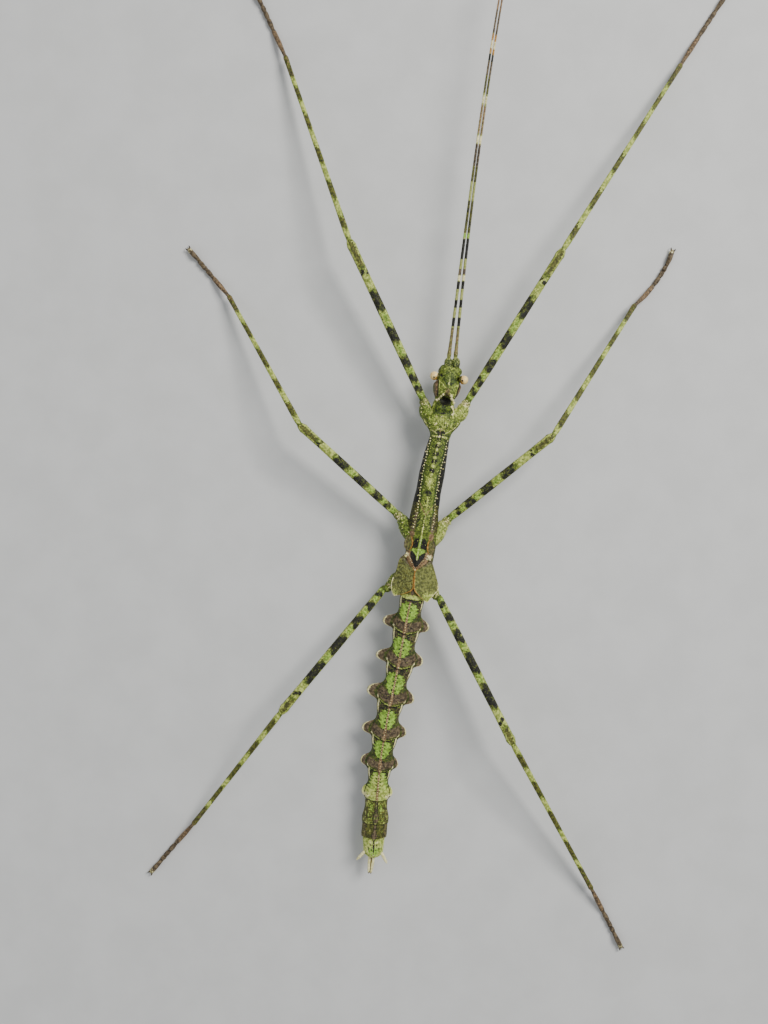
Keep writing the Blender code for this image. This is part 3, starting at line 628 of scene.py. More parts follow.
def paint_mesonotum(paint, f):
    back, off = f["back"], f["off"]
    beyond = np.abs(off) - table(PALE_BACK, back)
    inside = band(back, 24.0, 54.0, 0.8)
    paint.aim(back, off, np.cos(f["turn"]) > -0.45)
    paint.add("dark", past(beyond, 0.1, 0.35) * band(back, 24.0, 45.6, 1.2), 0.85)
    paint.add("dark", past(beyond, 0.5, 0.35) * band(back, 44.0, 54.0, 1.2), 0.50)
    paint.add("deep", band(beyond, -0.7, 0.2, 0.4) * inside, 0.7)
    paint.aim(back, off)
    paint.add("olive", past(beyond, -0.5, 0.4) * band(back, 44.6, 54.0, 1.2), 0.8)
    paint.aim(back, off, f["on_back"])
    paint.add("pale", inside * near(off, 2.0, 0.4), 0.33)
    paint.add("deep", inside * band(back, 20.0, 35.5, 1.5), 0.46)
    paint.add("dark", inside * band(back, 20.0, 38.0, 2.0), 0.31)
    paint.blobs("dark", ((26.9, 0.40), (29.2, 0.52), (31.8, 0.46), (34.6, 0.42)), (0.68, 0.44))
    paint.blobs("dark", ((42.6, 0.3), (44.4, 0.5), (46.2, 0.5)), (0.25, 0.25))
    paint.blobs("pale", BEADS, (0.55, 0.60))
    paint.blobs("cream", BEADS, (0.35, 0.36), 0.62)
    paint.marks(MESONOTUM_MARKS)


# the bright cross on the black of the metathorax: start, end and half width of each arm
CROSS = (
    ((55.8, 0.0), (62.6, 0.0), 0.42),
    ((60.0, -1.6), (60.0, 1.6), 0.55),
    ((60.2, -1.6), (61.4, -0.4), 0.3),
    ((60.2, 1.6), (61.4, 0.4), 0.3),
)
METANOTUM_MARKS = (
    ("cream", 0.85, (55.8, 0.0), (63.0, 0.0), 0.13),
    ("pink", 1.0, (55.2, 3.1), (1.2, 0.75)),
    ("pink", 1.0, (61.0, 3.5), (65.4, 0.3), 1.15),
    ("dark", 0.8, (61.6, 2.1), (64.4, 0.3), 0.28),
    ("cream", 0.52, (61.4, 3.2), (65.4, 0.5), 0.34),
    ("cream", 0.85, (61.8, 3.7), (1.0, 0.8)),
    ("brown", 0.8, (63.6, 3.0), (1.6, 1.4)),
    ("cream", 1.0, (61.7, 3.5), (0.75, 0.65)),
    ("cream", 1.0, (66.4, 0.0), (0.5, 0.35)),
    ("brown", 1.0, (71.5, 0.0), (75.6, 0.0), 0.5),
)


def paint_metanotum(paint, f):
    back, off = f["back"], f["off"]
    paint.aim(back, off, f["on_back"])
    black = table(((56.0, 1.5), (58.0, 2.3), (62.0, 2.3), (65.6, 0.2)), back)
    paint.add("dark", band(back, 56.2, 65.4, 0.4) * near(off, black, 0.4))
    cross = np.max([stroke(back, off, *arm) for arm in CROSS], axis=0)
    paint.clear("dark", cross * 1.1)
    paint.add("bright", cross, 0.9)
    paint.blobs("dark", ((58.2, 0.95), (61.9, 0.8), (63.2, 0.5)), (0.4, 0.4))
    paint.marks(METANOTUM_MARKS)
    paint.add("pale", band(back, 74.2, 75.6, 0.3), 0.9)
    paint.aim(back, off)
    paint.add("olive", band(back, 65.5, 74.4, 0.5))
    flank = past(np.abs(off), 3.4, 0.4) * band(back, 57.5, 74.0, 0.8)
    paint.add("olive", flank, 0.8)
    paint.add("deep", flank, 0.5)


Plate = namedtuple("Plate", "segment green forward brown lobe_field")
PLATES = (
    Plate(4, 1.0, 0.04, 1.0, "brown"), Plate(5, 0.98, 0.0, 1.0, "brown"), Plate(6, 1.0, 0.0, 1.0, "brown"),
    Plate(7, 0.90, 0.02, 0.95, "brown"), Plate(8, 0.92, 0.12, 0.75, "brown"), Plate(9, 1.0, 0.0, 0.0, "pale"),
)
# half width of the green wings of a plate along it, for the brown-banded plates and for the all-green one
WINGS = (
    (0.10, 0.0), (0.17, 1.5), (0.26, 2.4), (0.38, 2.9), (0.50, 2.7),
    (0.60, 2.1), (0.68, 1.2), (0.73, 0.0), (1.0, 0.0),
)
GREEN_PLATE = ((0.02, 1.4), (0.3, 2.5), (0.6, 3.0), (0.9, 3.4), (1.0, 3.4))
PLATE_DOTS = ((0.14, 0.62), (0.25, 0.62), (0.36, 0.62), (0.47, 0.62), (0.58, 0.62), (0.68, 0.62))
LAST_SEGMENT = len(BODY) - 1


def paint_plate(paint, f, plate):
    """One of the lobed plates of the abdomen: green wings, a brown hind band and lines along it."""
    at, off = f["at"], f["off"]
    aside = np.abs(off)
    here = (f["segment"] == plate.segment) * 1.0
    wide = table(WINGS if plate.brown else GREEN_PLATE, at + plate.forward) * plate.green
    phase = 2.1 * plate.segment + np.sign(off)
    wide = wide * (1.0 + 0.16 * np.cos(at * 57.0 + phase) + 0.12 * np.cos(at * 101.0 + 3.0 * phase))
    paint.aim(at, off, here)
    paint.add("olive", 1.0, 0.8)
    paint.add("deep", 1.0, 0.55)
    if not plate.brown:
        paint.add("cream", band(at, 0.78, 1.0, 0.1) * past(aside, 2.2, 0.5), 0.56)
    paint.aim(at, off, here * f["on_back"])
    paint.add("bright", near(off, wide, 0.5))
    paint.marks((("bright", 0.8, (0.08, 1.6), (0.04, 0.5)), ("bright", 0.8, (0.05, 3.0), (0.05, 0.4))))
    if not plate.brown:
        paint.add("pale", near(off, wide, 0.5), 0.57)
        paint.add("pale", band(at, 0.60, 1.0, 0.1), 0.76)
    # painted shade in the crevice behind the hind margin of the plate in front
    paint.add("dark", band(at, -0.1, 0.05, 0.05), 0.9)
    flank = past(aside, wide + 0.2, 0.3) * band(at, -0.1, 0.6, 0.1)
    paint.add("brown", flank, 0.56 * plate.brown)
    paint.add("dark", flank, 0.46)
    paint.add("dark", flank * band(aside - np.maximum(wide, 1.5), -1.0, 0.9, 0.3), 0.54)
    hind = band(at, 0.66, 0.93, 0.07) + 0.06 * np.cos(off * 2.2) * band(at, 0.55, 0.75, 0.1)
    paint.add("brown", hind, plate.brown)
    paint.add("dark", hind, 0.42 * plate.brown)
    paint.add("pink", hind * near(off, 3.4, 0.6), 0.36 * plate.brown)
    paint.add("deep", band(at, 0.93, 0.955, 0.02), 0.8)
    paint.add("pale", band(at, 0.955, 1.1, 0.02), 0.60)
    line = 0.30 + 0.16 * band(at, 0.62, 1.1, 0.1)
    paint.add("pink", near(off, line, 0.12) * band(at, 0.0, 1.1, 0.03), 0.9)
    paint.add("brown", near(off, line + 0.15, 0.12))
    paint.blobs("dark", PLATE_DOTS, (0.026, 0.26))
    paint_edge(paint, f, here, plate.lobe_field)


def paint_edge(paint, f, here, lobe_field):
    """The pale line along the side in front, and the lobe with its cream rim."""
    at, off, edge = f["at"], f["off"], f["spike"]
    flank = np.abs(f["out"]) / f["half"]
    ends = np.maximum(band(at, -0.1, 0.36, 0.12), band(at, 0.90, 1.2, 0.05))
    paint.aim(at, off, here * (np.cos(f["turn"]) > 0.0))
    paint.clear("dark", band(flank, 0.86, 1.2, 0.05))
    paint.add("cream", band(flank, 0.87, 0.985, 0.05) * ends, 0.9)
    paint.aim(at, off, here * smoothstep((f["lobe"] - 0.3) / 0.5))
    paint.add(lobe_field, np.clip(edge * 2.0, 0.0, 1.0), 0.9)
    paint.add("cream", past(edge, 0.80, 0.12) * (0.6 + 0.4 * smoothstep((at - 0.6) / 0.15)), 0.95)
    paint.add("deep", band(edge, 0.05, 0.3, 0.1), 0.7)


# the narrow plates behind the lobed ones: segment, strength of the pale and the bright all over and of the
# bright in front, and a mark of its own
NARROW_PLATES = (
    (LAST_SEGMENT - 2, 0.36, 0.40, 0.53, ("pale", 0.75, (0.0, 2.4), (0.28, 3.0), 0.13)),
    (LAST_SEGMENT - 1, 0.26, 0.24, 0.0, ("pale", 0.5, (0.45, 1.6), (0.3, 0.4))),
)
LAST_MARKS = (
    ("cream", 0.62, (0.16, 1.15), (0.15, 0.55)),
    ("pale", 1.0, (0.26, 1.15), (0.2, 0.7)),
    ("dark", 1.0, (0.30, 0.95), (0.05, 0.22)),
    ("dark", 1.0, (0.55, 0.7), (0.05, 0.25)),
    ("dark", 0.9, (0.50, 1.7), (0.07, 0.22)),
    ("dark", 1.0, (0.0, 0.0), (0.5, 0.0), 0.26),
)


def paint_narrow_plate(paint, f, segment, pale, bright, front, own_mark):
    at, off = f["at"], f["off"]
    aside = np.abs(off)
    here = (f["segment"] == segment) * 1.0
    line = 0.28 + 0.6 * np.exp(-((at - 0.75) / 0.2) ** 2)
    paint.aim(at, off, here)
    paint.add("olive", 1.0, 0.9)
    paint.add("deep", 1.0, 0.40)
    paint.aim(at, off, here * f["on_back"])
    paint.add("pale", 1.0, pale)
    paint.add("bright", 1.0, bright)
    # painted shade in the crevice behind the hind margin of the plate in front
    paint.add("dark", band(at, -0.1, 0.06, 0.04), 0.75)
    paint.add("dark", near(off, line + 0.30, 0.2), 0.60)
    paint.clear("dark", near(off, line, 0.15) * 0.7)
    paint.add("brown", near(off, line, 0.15))
    paint.add("pale", band(at, 0.93, 1.1, 0.03), 0.6)
    paint.add("brown", past(aside, 2.5, 0.4), 0.50)
    paint.add("dark", band(aside, 2.5, 3.1, 0.3) * band(at, 0.0, 0.9, 0.1), 0.50)
    paint.add("bright", band(aside, 0.7, 2.2, 0.4) * band(at, 0.0, 0.6, 0.2), front)
    paint.marks([own_mark])


def paint_last_plate(paint, f):
    at, off = f["at"], f["off"]
    last = (f["segment"] == LAST_SEGMENT) * 1.0
    saddle = blob(at, off, (0.62, 0.0), (0.22, 1.6))
    paint.aim(at, off, last)
    paint.add("bright", 1.0, 0.80)
    paint.add("pale", 1.0, 0.62)
    paint.aim(at, off, last * f["on_back"])
    paint.add("cream", 1.0, 0.34)
    paint.add("deep", saddle, 0.46)
    paint.clear("pale", saddle)
    for side in (-1, 1):
        paint.add("dark", ring_mark(at, off, (0.24, side * 1.15), (0.26, 0.95), 0.2), 0.52)
    paint.marks(LAST_MARKS)
    paint.aim(at, off, last)
    paint.add("pale", past(at, 0.88, 0.05))


def paint_belly(paint, f):
    paint.aim(f["at"], f["off"], smoothstep(-np.cos(f["turn"]) * 2.0 - 0.2))
    paint.add("olive", 1.0, 0.62)
    paint.add("brown", near(f["out"], 0.35, 0.25), 0.8)
    # painted shade in the crevice at the front of each segment
    paint.add("dark", band(f["at"], -0.1, 0.03, 0.02), 0.7)


def painted_body(facts):
    paint = Paint(facts["back"].shape)
    for paint_region in (paint_head, paint_pronotum, paint_mesonotum, paint_metanotum):
        paint_region(paint, facts)
    for plate in PLATES:
        paint_plate(paint, facts, plate)
    for row in NARROW_PLATES:
        paint_narrow_plate(paint, facts, *row)
    paint_last_plate(paint, facts)
    paint_belly(paint, facts)
    return paint.fields


# ================================================================ meshes


def add_object(name, data):
    made = bpy.data.objects.new(name, data)
    bpy.context.scene.collection.objects.link(made)
    return made


def tube_shell(rings, fields):
    """Points, faces and fields of a tube closed at both ends round a middle point."""
    rows, columns = rings.shape[:2]
    row, column = np.meshgrid(np.arange(rows - 1), np.arange(columns), indexing="ij")
    here, beside = row * columns + column, row * columns + (column + 1) % columns
    quads = np.stack([here, beside, beside + columns, here + columns], axis=-1).reshape(-1, 4)
    faces = [tuple(quad) for quad in quads.tolist()]
    first, last = rows * columns, rows * columns + 1
    base = (rows - 1) * columns
    for index in range(columns):
        following = (index + 1) % columns
        faces.append((first, following, index))
        faces.append((last, base + index, base + following))
    points = np.vstack([rings.reshape(-1, 3), rings[0].mean(axis=0), rings[-1].mean(axis=0)])
    flat = {}
    for name in FIELDS:
        values = np.broadcast_to(fields.get(name, 0.0), (rows, columns))
        flat[name] = np.concatenate([values.ravel(), [values[0].mean(), values[-1].mean()]])
    return points, faces, flat


def make_piece(name, shells, material, replaces):
    """One object from shells of points, faces and fields, which replaces some CAD nodes."""
    points, faces = [], []
    fields = {field: [] for field in FIELDS}
    start = 0
    for shell_points, shell_faces, shell_fields in shells:
        points.append(shell_points)
        faces += [tuple(corner + start for corner in face) for face in shell_faces]
        start += len(shell_points)
        for field in FIELDS:
            fields[field].append(np.broadcast_to(shell_fields.get(field, 0.0), (len(shell_points),)))
    mesh = bpy.data.meshes.new(name)
    mesh.from_pydata((np.vstack(points) * MM).tolist(), [], faces)
    for field in FIELDS:
        layer = mesh.attributes.new(field, "FLOAT", "POINT")
        layer.data.foreach_set("value", np.concatenate(fields[field]).astype(np.float32))
    outward = bmesh.new()
    outward.from_mesh(mesh)
    bmesh.ops.recalc_face_normals(outward, faces=outward.faces)
    outward.to_mesh(mesh)
    outward.free()
    mesh.shade_smooth()
    mesh.materials.append(material)
    piece = add_object(name, mesh)
    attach(piece, "root")
    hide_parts(*replaces)
    return piece


def tube_frames(centres):
    """Right and up directions of rings along a path that is never upright."""
    ahead = unit(np.gradient(centres, axis=0))
    right = unit(np.cross(ahead, UP))
    return right, np.cross(right, ahead)


def round_rings(centres, radii, turns, flatten=1.0):
    """Rings round a path. radii has a row for each ring and a column for each turn; turn 0 is up."""
    right, up = tube_frames(centres)
    radii = np.broadcast_to(radii, (len(centres), len(turns)))
    sideways = right[:, None, :] * (np.sin(turns) * radii)[..., None]
    return centres[:, None, :] + sideways + up[:, None, :] * (np.cos(turns) * radii * flatten)[..., None]


def circle(sides):
    """Evenly spread turns."""
    return np.arange(sides) * 2.0 * math.pi / sides


DOME_SIDES = 7


def dome(point, normal, radius, height, field):
    """A small rounded wart or, where it is high, a cone, sunk a little into the skin it stands on."""
    aside = unit(np.cross(normal, [0.3, 1.0, 0.2]))
    beside = np.cross(normal, aside)
    turns = circle(DOME_SIDES)[:, None]
    around = aside * np.cos(turns) + beside * np.sin(turns)
    levels = ((1.0, -0.4 * radius), (0.78, 0.55 * height), (0.30, 0.95 * height))
    rings = [point + normal * lift + around * radius * size for size, lift in levels]
    return tube_shell(np.array(rings), {field: 1.0})


# ================================================================ the body's skin and granules


END_INSET = 0.03


def body_shell():
    """The painted skin of the head, thorax and abdomen in one."""
    rings = int((AXIS.length - HEAD_START) / RING_SPACING)
    back = np.linspace(HEAD_START + END_INSET, AXIS.length - END_INSET, rings)
    points, facts = body_surface(back[:, None], ring_turns()[None, :])
    return tube_shell(points, painted_body(facts))


def granules(places, radius, height, field):
    """Domes at (back, off) places, each a little different."""
    points, normals = skin_points(places[:, 0], places[:, 1])
    sizes = RANDOM.uniform(0.7, 1.25, len(points))
    return [dome(point, normal, radius * size, height * size, field)
            for point, normal, size in zip(points, normals, sizes)]


def granule_lines(rows, sides=(-1, 1)):
    """Lines of granules on each side: start, end, spacing, radius, height and field."""
    shells = []
    for side in sides:
        for (start, start_off), (end, end_off), spacing, *look in rows:
            ends = np.array([(start, side * start_off), (end, side * end_off)])
            run = ends[1] - ends[0]
            count = max(int(np.linalg.norm(run) / spacing), 1)
            places = ends[0] + run * np.linspace(0.0, 1.0, count + 1)[:, None]
            shells += granules(places + RANDOM.normal(0.0, 0.08, places.shape), *look)
    return shells


def granule_patches(rows):
    """Granules strewn over the back: from, to, half width, how many, radius, height and field."""
    shells = []
    for low, high, half, count, *look in rows:
        back = RANDOM.uniform(low, high, count)
        places = np.stack([back, RANDOM.uniform(-half, half, count)], axis=1)
        shells += granules(places, *look)
    return shells


# two rows of blunt cones at the back of the head, in a V round the hollow that is painted dark as shade, and
# smaller ones beside them
CROWN = (
    ((10.4, 1.25), (12.4, 2.6), 0.55, 0.46, 0.75, "cream"),
    ((9.9, 0.9), (12.0, 2.2), 0.7, 0.26, 0.42, "pale"),
    ((12.8, 3.3), (13.8, 3.9), 0.6, 0.26, 0.4, "pale"),
)
PRONOTUM_PATCHES = (
    (8.0, 10.4, 0.9, 9, 0.18, 0.22, "pink"),
    (16.8, 22.0, 3.9, 74, 0.19, 0.17, "pale"),
    (16.9, 20.4, 2.4, 10, 0.28, 0.30, "cream"),
    (16.9, 20.6, 3.4, 14, 0.28, 0.30, "pale"),
    (12.8, 16.6, 3.4, 12, 0.18, 0.18, "deep"),
)
PRONOTUM_LINES = (
    ((18.2, 5.6), (20.6, 4.3), 0.46, 0.16, 0.16, "cream"),
    ((20.6, 4.3), (22.8, 1.3), 0.46, 0.16, 0.16, "cream"),
    ((21.3, 0.3), (21.9, 1.4), 0.4, 0.18, 0.2, "cream"),
    ((24.0, 0.9), (24.1, 2.2), 0.5, 0.18, 0.16, "cream"),
)
MESONOTUM_LINES = (
    ((24.6, 2.5), (29.0, 2.75), 0.84, 0.23, 0.28, "cream"),
    ((24.6, 3.0), (29.0, 3.35), 2.1, 0.16, 0.18, "cream"),
    ((29.0, 2.75), (43.0, 2.5), 0.84, 0.23, 0.28, "cream"),
    ((29.0, 3.25), (43.0, 3.1), 2.1, 0.16, 0.18, "cream"),
    ((43.0, 2.5), (53.0, 2.9), 0.84, 0.23, 0.28, "cream"),
    ((43.0, 3.0), (53.0, 3.5), 2.1, 0.16, 0.18, "cream"),
)
MESONOTUM_PATCHES = (
    (24.8, 37.0, 2.2, 60, 0.16, 0.13, "pale"),
    (36.2, 41.0, 1.6, 34, 0.19, 0.16, "pale"),
    (43.4, 48.6, 1.8, 40, 0.19, 0.18, "pale"),
    (47.6, 54.0, 3.8, 44, 0.18, 0.16, "pale"),
)
MESONOTUM_MIDDLE = (
    ((25.0, 0.0), (36.5, 0.0), 0.8, 0.14, 0.16, "cream"),
    ((49.0, 0.0), (54.6, 0.0), 0.7, 0.15, 0.16, "cream"),
)
METANOTUM_PATCHES = ((56.4, 62.5, 1.9, 14, 0.13, 0.12, "pale"),)
METANOTUM_LINES = (
    ((61.5, 3.2), (65.4, 0.6), 0.42, 0.24, 0.24, "pink"),
    ((61.6, 3.4), (62.2, 4.0), 0.4, 0.46, 0.62, "cream"),
)


def plate_granules(plate):
    start, end = AXIS.joints[plate.segment], AXIS.joints[plate.segment + 1]
    length = end - start
    rear = (start + 0.6 * length, end - 0.9, 3.2)
    field = "brown" if plate.brown else "pale"
    shells = granule_patches([(*rear, 12, 0.13, 0.11, field), (*rear, 6, 0.12, 0.11, "pale")])
    middle = ((start + 0.1 * length, 0.0), (end - 0.4, 0.0), 0.75, 0.15, 0.16, "cream")
    return shells + granule_lines([middle], AS_GIVEN)


def body_granules():
    shells = granule_lines(CROWN)
    shells += granule_patches(PRONOTUM_PATCHES)
    shells += granule_lines(PRONOTUM_LINES)
    shells += granule_lines(MESONOTUM_LINES)
    shells += granule_patches(MESONOTUM_PATCHES)
    shells += granule_lines(MESONOTUM_MIDDLE, AS_GIVEN)
    shells += granule_patches(METANOTUM_PATCHES)
    shells += granule_lines(METANOTUM_LINES)
    for plate in PLATES:
        shells += plate_granules(plate)
    return shells


# ================================================================ legs


COXA_CORNERS, LIMB_CORNERS = 10, 8
# the free rings of a coxa, and how much of the way from its hip to the thigh they take
COXA_RINGS, COXA_SHARE = 4, 0.38
# the share of the way from its hip to the axis that a leg reaches inside the thorax, and that end's rise
ROOT_SHARE, ROOT_RAISE = 0.55, 0.2


class Leg:
    """The centre line and radii of a leg, from inside the thorax to the toe, read from its CAD nodes."""

    def __init__(self, key):
        self.pair, side = key.split("_")
        self.outer = SIDES[side]
        names = [f"{part}_{key}" for part in LEG_PARTS]
        middles = [corner_points(name).mean(axis=0) for name in names]
        coxa, coxa_radii = ring_centres(names[0], COXA_CORNERS, unit(middles[1] - middles[0]), COXA_RINGS)
        hip = coxa[-1] + (coxa[0] - coxa[-1]) / COXA_SHARE
        nearest = AXIS.points[np.argmin(np.linalg.norm(AXIS.points[:, :2] - hip[:2], axis=1))]
        shift = AXIS.ahead(0.0) * ROOT_SHIFT[self.pair]
        root = hip + (nearest - hip) * ROOT_SHARE - shift
        hip = hip - shift * 0.5
        root[2] = hip[2] + ROOT_RAISE
        parts = [np.vstack([root, (root + hip) / 2.0, hip * 0.7 + coxa[0] * 0.3, coxa])]
        radii = [np.concatenate([ROOT_RADII[self.pair], coxa_radii])]
        for name, before, here in zip(names[1:], middles, middles[1:]):
            part, part_radii = ring_centres(name, LIMB_CORNERS, here - before)
            parts.append(part)
            radii.append(part_radii)
        corners = np.vstack(parts)
        lengths = path_lengths(corners)
        self.along, self.centres = smooth_path(corners, LEG_SPACING)
        self.right, self.up = tube_frames(self.centres)
        self.radius = np.interp(self.along, lengths, np.concatenate(radii))
        counts = np.cumsum([0] + [len(part) for part in parts])
        self.spans = [(lengths[a], lengths[b - 1]) for a, b in zip(counts, counts[1:])]
        self.toe = parts[-1][-1]
        self.ahead = unit(parts[-1][-1] - parts[-1][-2])

    def share(self, part):
        """How far each ring is along a part of the leg, below 0 before it and above 1 past it."""
        low, high = self.spans[part]
        return (self.along - low) / (high - low)

    def surface(self, index, turn):
        """A point just under the skin of a ring, and the way out."""
        normal = self.right[index] * math.sin(turn) + self.up[index] * math.cos(turn)
        return self.centres[index] + normal * self.radius[index] * 0.98, normal


# share along the thigh and half length of each dark band
FEMUR_DARK = {
    "fore": ((0.060, 0.014), (0.128, 0.020), (0.237, 0.032), (0.407, 0.047), (0.622, 0.060), (0.80, 0.013)),
    "mid": ((0.086, 0.015), (0.198, 0.038), (0.370, 0.053), (0.575, 0.060), (0.80, 0.013)),
    "hind": ((0.050, 0.010), (0.140, 0.022), (0.270, 0.038), (0.457, 0.068), (0.680, 0.080), (0.85, 0.012)),
}
# where the palest part of the thigh starts and where it ends
FEMUR_PALE = {"fore": (0.69, 0.83), "mid": (0.65, 0.83), "hind": (0.76, 0.89)}
# share along the shin and half length of each pale band
TIBIA_PALE = {
    "fore": ((0.03, 0.03), (0.17, 0.05), (0.36, 0.05), (0.55, 0.05), (0.72, 0.04), (0.86, 0.03)),
    "mid": ((0.03, 0.03), (0.21, 0.05), (0.39, 0.05), (0.63, 0.05), (0.83, 0.05)),
    "hind": ((0.03, 0.03), (0.20, 0.05), (0.40, 0.05), (0.62, 0.04), (0.82, 0.03)),
}


def turn_from(turns, centre):
    """Signed angle from a direction round a limb."""
    return (turns - centre + math.pi) % (2.0 * math.pi) - math.pi


def ridges(turns):
    """The four ridges along a limb."""
    return np.clip(np.cos(4.0 * turns + math.pi), 0.0, 1.0)


def sway(turns):
    """How the ends of a band wander round a limb, as a share of its length."""
    return 0.012 * np.sin(3.0 * turns + 1.0)


def paint_hip(paint, leg, turns):
    """A mottled hip, painted paler on the animal's right as painted light and darker on the left as painted
    shade.
    """
    coxa = leg.share(0)[:, None]
    top = 0.5 + 0.5 * np.cos(turns)
    # painted light and shade: the hips on the right are painted paler, those on the left darker
    pale, bright = (0.56, 0.46) if leg.outer > 0 else (0.33, 0.38)
    streaks = np.clip(np.cos(9.0 * turns + 1.0), 0.0, 1.0)
    streaks = streaks * np.clip(1.4 * np.sin(coxa * 14.0 + 1.0), 0.0, 1.0)
    paint.add("pale", band(coxa, -1.0, 1.02, 0.05), pale)
    paint.add("bright", band(coxa, -1.0, 1.02, 0.05), bright)
    paint.add("deep", band(coxa, -1.0, 0.7, 0.1) * (1.0 - top), 0.7)
    paint.add("dark", band(coxa, -0.6, 0.9, 0.1) * streaks, 0.58)
    paint.add("pink", band(coxa, 0.78, 0.98, 0.05) * top, 0.56)
    paint.add("cream", band(coxa, 0.70, 1.05, 0.06) * top, 0.46)


def paint_thigh(paint, leg, turns):
    """Green with bands of dark blotches, then pale before the knee.

    The blotches face outwards and, on the hind legs, upwards.
    """
    femur = leg.share(1)[:, None]
    edges = ridges(turns)
    facing = 0.0 if leg.pair == "hind" else leg.outer * math.radians(48.0)
    start, end = FEMUR_PALE[leg.pair]
    paint.add("bright", band(femur, 0.0, start, 0.02), 0.60)
    paint.add("pale", band(femur, 0.0, start, 0.02), 0.44)
    paint.add("pale", band(femur, 0.02, start, 0.02) * edges, 0.66)
    for centre, half in FEMUR_DARK[leg.pair]:
        spotted = band(femur + sway(turns), centre - half - 0.008, centre + half + 0.008, 0.012)
        paint.add("olive", spotted, 0.66)
        paint.add("deep", spotted, 0.53)
        paint.clear("pale", spotted * (0.75 - edges * 0.3))
        paint.clear("bright", spotted)
        count = 2 + int(half / 0.022)
        length = half * 1.5 / count + 0.009
        for index, share in enumerate(np.linspace(-0.72, 0.72, count)):
            swing = 0.50 if index % 2 else -0.42
            blotches = (
                (facing + swing, (length, 0.64), 0.66),
                (facing + swing + math.pi * 0.95, (length, 0.64), 0.66),
                (facing - leg.outer * 1.70 + swing * 0.5, (length * 0.75, 0.62), 0.57),
            )
            for turn, size, strength in blotches:
                blotch = blob(femur, turn_from(turns, turn), (centre + share * half, 0.0), size)
                paint.add("dark", smoothstep((blotch - 0.30) / 0.40), strength)
    paint.add("pale", band(femur, start, end, 0.02) * (0.62 + 0.38 * edges))
    paint.add("olive", band(femur, end, 1.02, 0.02), 0.66)
    paint.add("pale", band(femur, end, 1.02, 0.02) * (0.36 + 0.3 * edges))
    paint.add("dark", band(femur, end + 0.02, 0.98, 0.03) * (1.0 - edges), 0.34)


def paint_shin(paint, leg, turns):
    """Olive with pale bands, brown and pink at its foot."""
    tibia = leg.share(2)[:, None]
    edges = ridges(turns)
    paint.add("olive", band(tibia, 0.0, 1.02, 0.01), 0.60)
    paint.add("pale", band(tibia, 0.0, 0.9, 0.01) * edges, 0.44)
    swayed = tibia + sway(turns)
    for centre, half in TIBIA_PALE[leg.pair]:
        paint.clear("olive", band(swayed, centre - half, centre + half, 0.02))
        paint.add("pale", band(swayed, centre - half, centre + half, 0.02), 0.8)
        behind = band(swayed, centre + half + 0.005, centre + half + 0.04, 0.015)
        paint.add("dark", behind * (1.0 - edges), 0.50)
    paint.add("brown", band(tibia, 0.74, 1.05, 0.3), 0.62)
    paint.add("pink", band(tibia, 0.92, 1.05, 0.1), 0.52)


def paint_foot(paint, leg):
    """Brown, with a dark line at each of its joints."""
    tarsus = leg.share(3)[:, None]
    paint.add("brown", band(tarsus, -0.02, 1.2, 0.02))
    paint.add("pink", band(tarsus, 0.02, 0.40, 0.04), 0.48)
    for joint in (0.42, 0.56, 0.66, 0.74):
        paint.add("dark", band(tarsus, joint - 0.010, joint + 0.010, 0.01), 0.62)
    paint.add("cream", band(tarsus, 0.93, 1.3, 0.06), 0.5)


def painted_leg(leg, turns):
    paint = Paint((len(leg.along), len(turns)))
    paint_hip(paint, leg, turns)
    paint_thigh(paint, leg, turns)
    paint_shin(paint, leg, turns)
    paint_foot(paint, leg)
    return paint.fields


TOOTH_TURNS = (math.radians(132.0), math.radians(228.0))
# small teeth under the thigh and the shin: part, from and to along it, spacing and height
TEETH = ((1, 0.08, 0.95, 2.6, 0.42), (2, 0.06, 0.95, 3.4, 0.26))
HIP_GRANULES = 56


def leg_teeth(leg):
    """Small teeth along the lower ridges of the thigh and the shin, and granules on the hip."""
    shells = []
    for part, low, high, spacing, height in TEETH:
        share = leg.share(part)
        inside = np.flatnonzero((share > low) & (share < high))
        for turn in TOOTH_TURNS:
            for index in inside[::max(int(spacing / LEG_SPACING), 1)]:
                index = int(np.clip(index + RANDOM.integers(-1, 2), 0, len(share) - 1))
                point, normal = leg.surface(index, turn)
                if point[2] > 0.5:
                    shells.append(dome(point, normal, 0.16, height, "olive"))
    inside = np.flatnonzero((leg.share(0) > -0.1) & (leg.share(0) < 0.95))
    for _ in range(HIP_GRANULES):
        point, normal = leg.surface(RANDOM.choice(inside), RANDOM.uniform(-1.7, 1.7))
        size = RANDOM.uniform(0.14, 0.26)
        shells.append(dome(point, normal, size, size, "pale" if RANDOM.random() < 0.6 else "cream"))
    return shells


def leg_shells(leg):
    """A ridged leg with a knobbed knee, a narrow neck below it and flat soles."""
    turns = circle(LEG_SIDES)
    femur, tibia = leg.share(1)[:, None], leg.share(2)[:, None]
    angular = band(femur, 0.02, 1.0, 0.02) * 0.09 + band(tibia, 0.0, 1.0, 0.02) * 0.07
    knee = np.exp(-((femur - 0.975) / 0.014) ** 2) * np.sin(turns) ** 2
    neck = np.exp(-((tibia - 0.004) / 0.012) ** 2)
    radii = leg.radius[:, None] * (1.0 + angular * np.cos(4.0 * turns + math.pi))
    rings = round_rings(leg.centres, radii * (1.0 + 0.22 * knee) * (1.0 - 0.12 * neck), turns)
    rings[..., 2] = np.maximum(rings[..., 2], 0.0)
    return [tube_shell(rings, painted_leg(leg, turns))] + leg_teeth(leg)


# ================================================================ head pieces


def sphere_of(points):
    """Centre and radius of the ball that fits points best."""
    rows = np.hstack([2.0 * points, np.ones((len(points), 1))])
    found = np.linalg.lstsq(rows, (points ** 2).sum(axis=1), rcond=None)[0]
    centre = found[:3]
    return centre, math.sqrt(found[3] + centre @ centre)


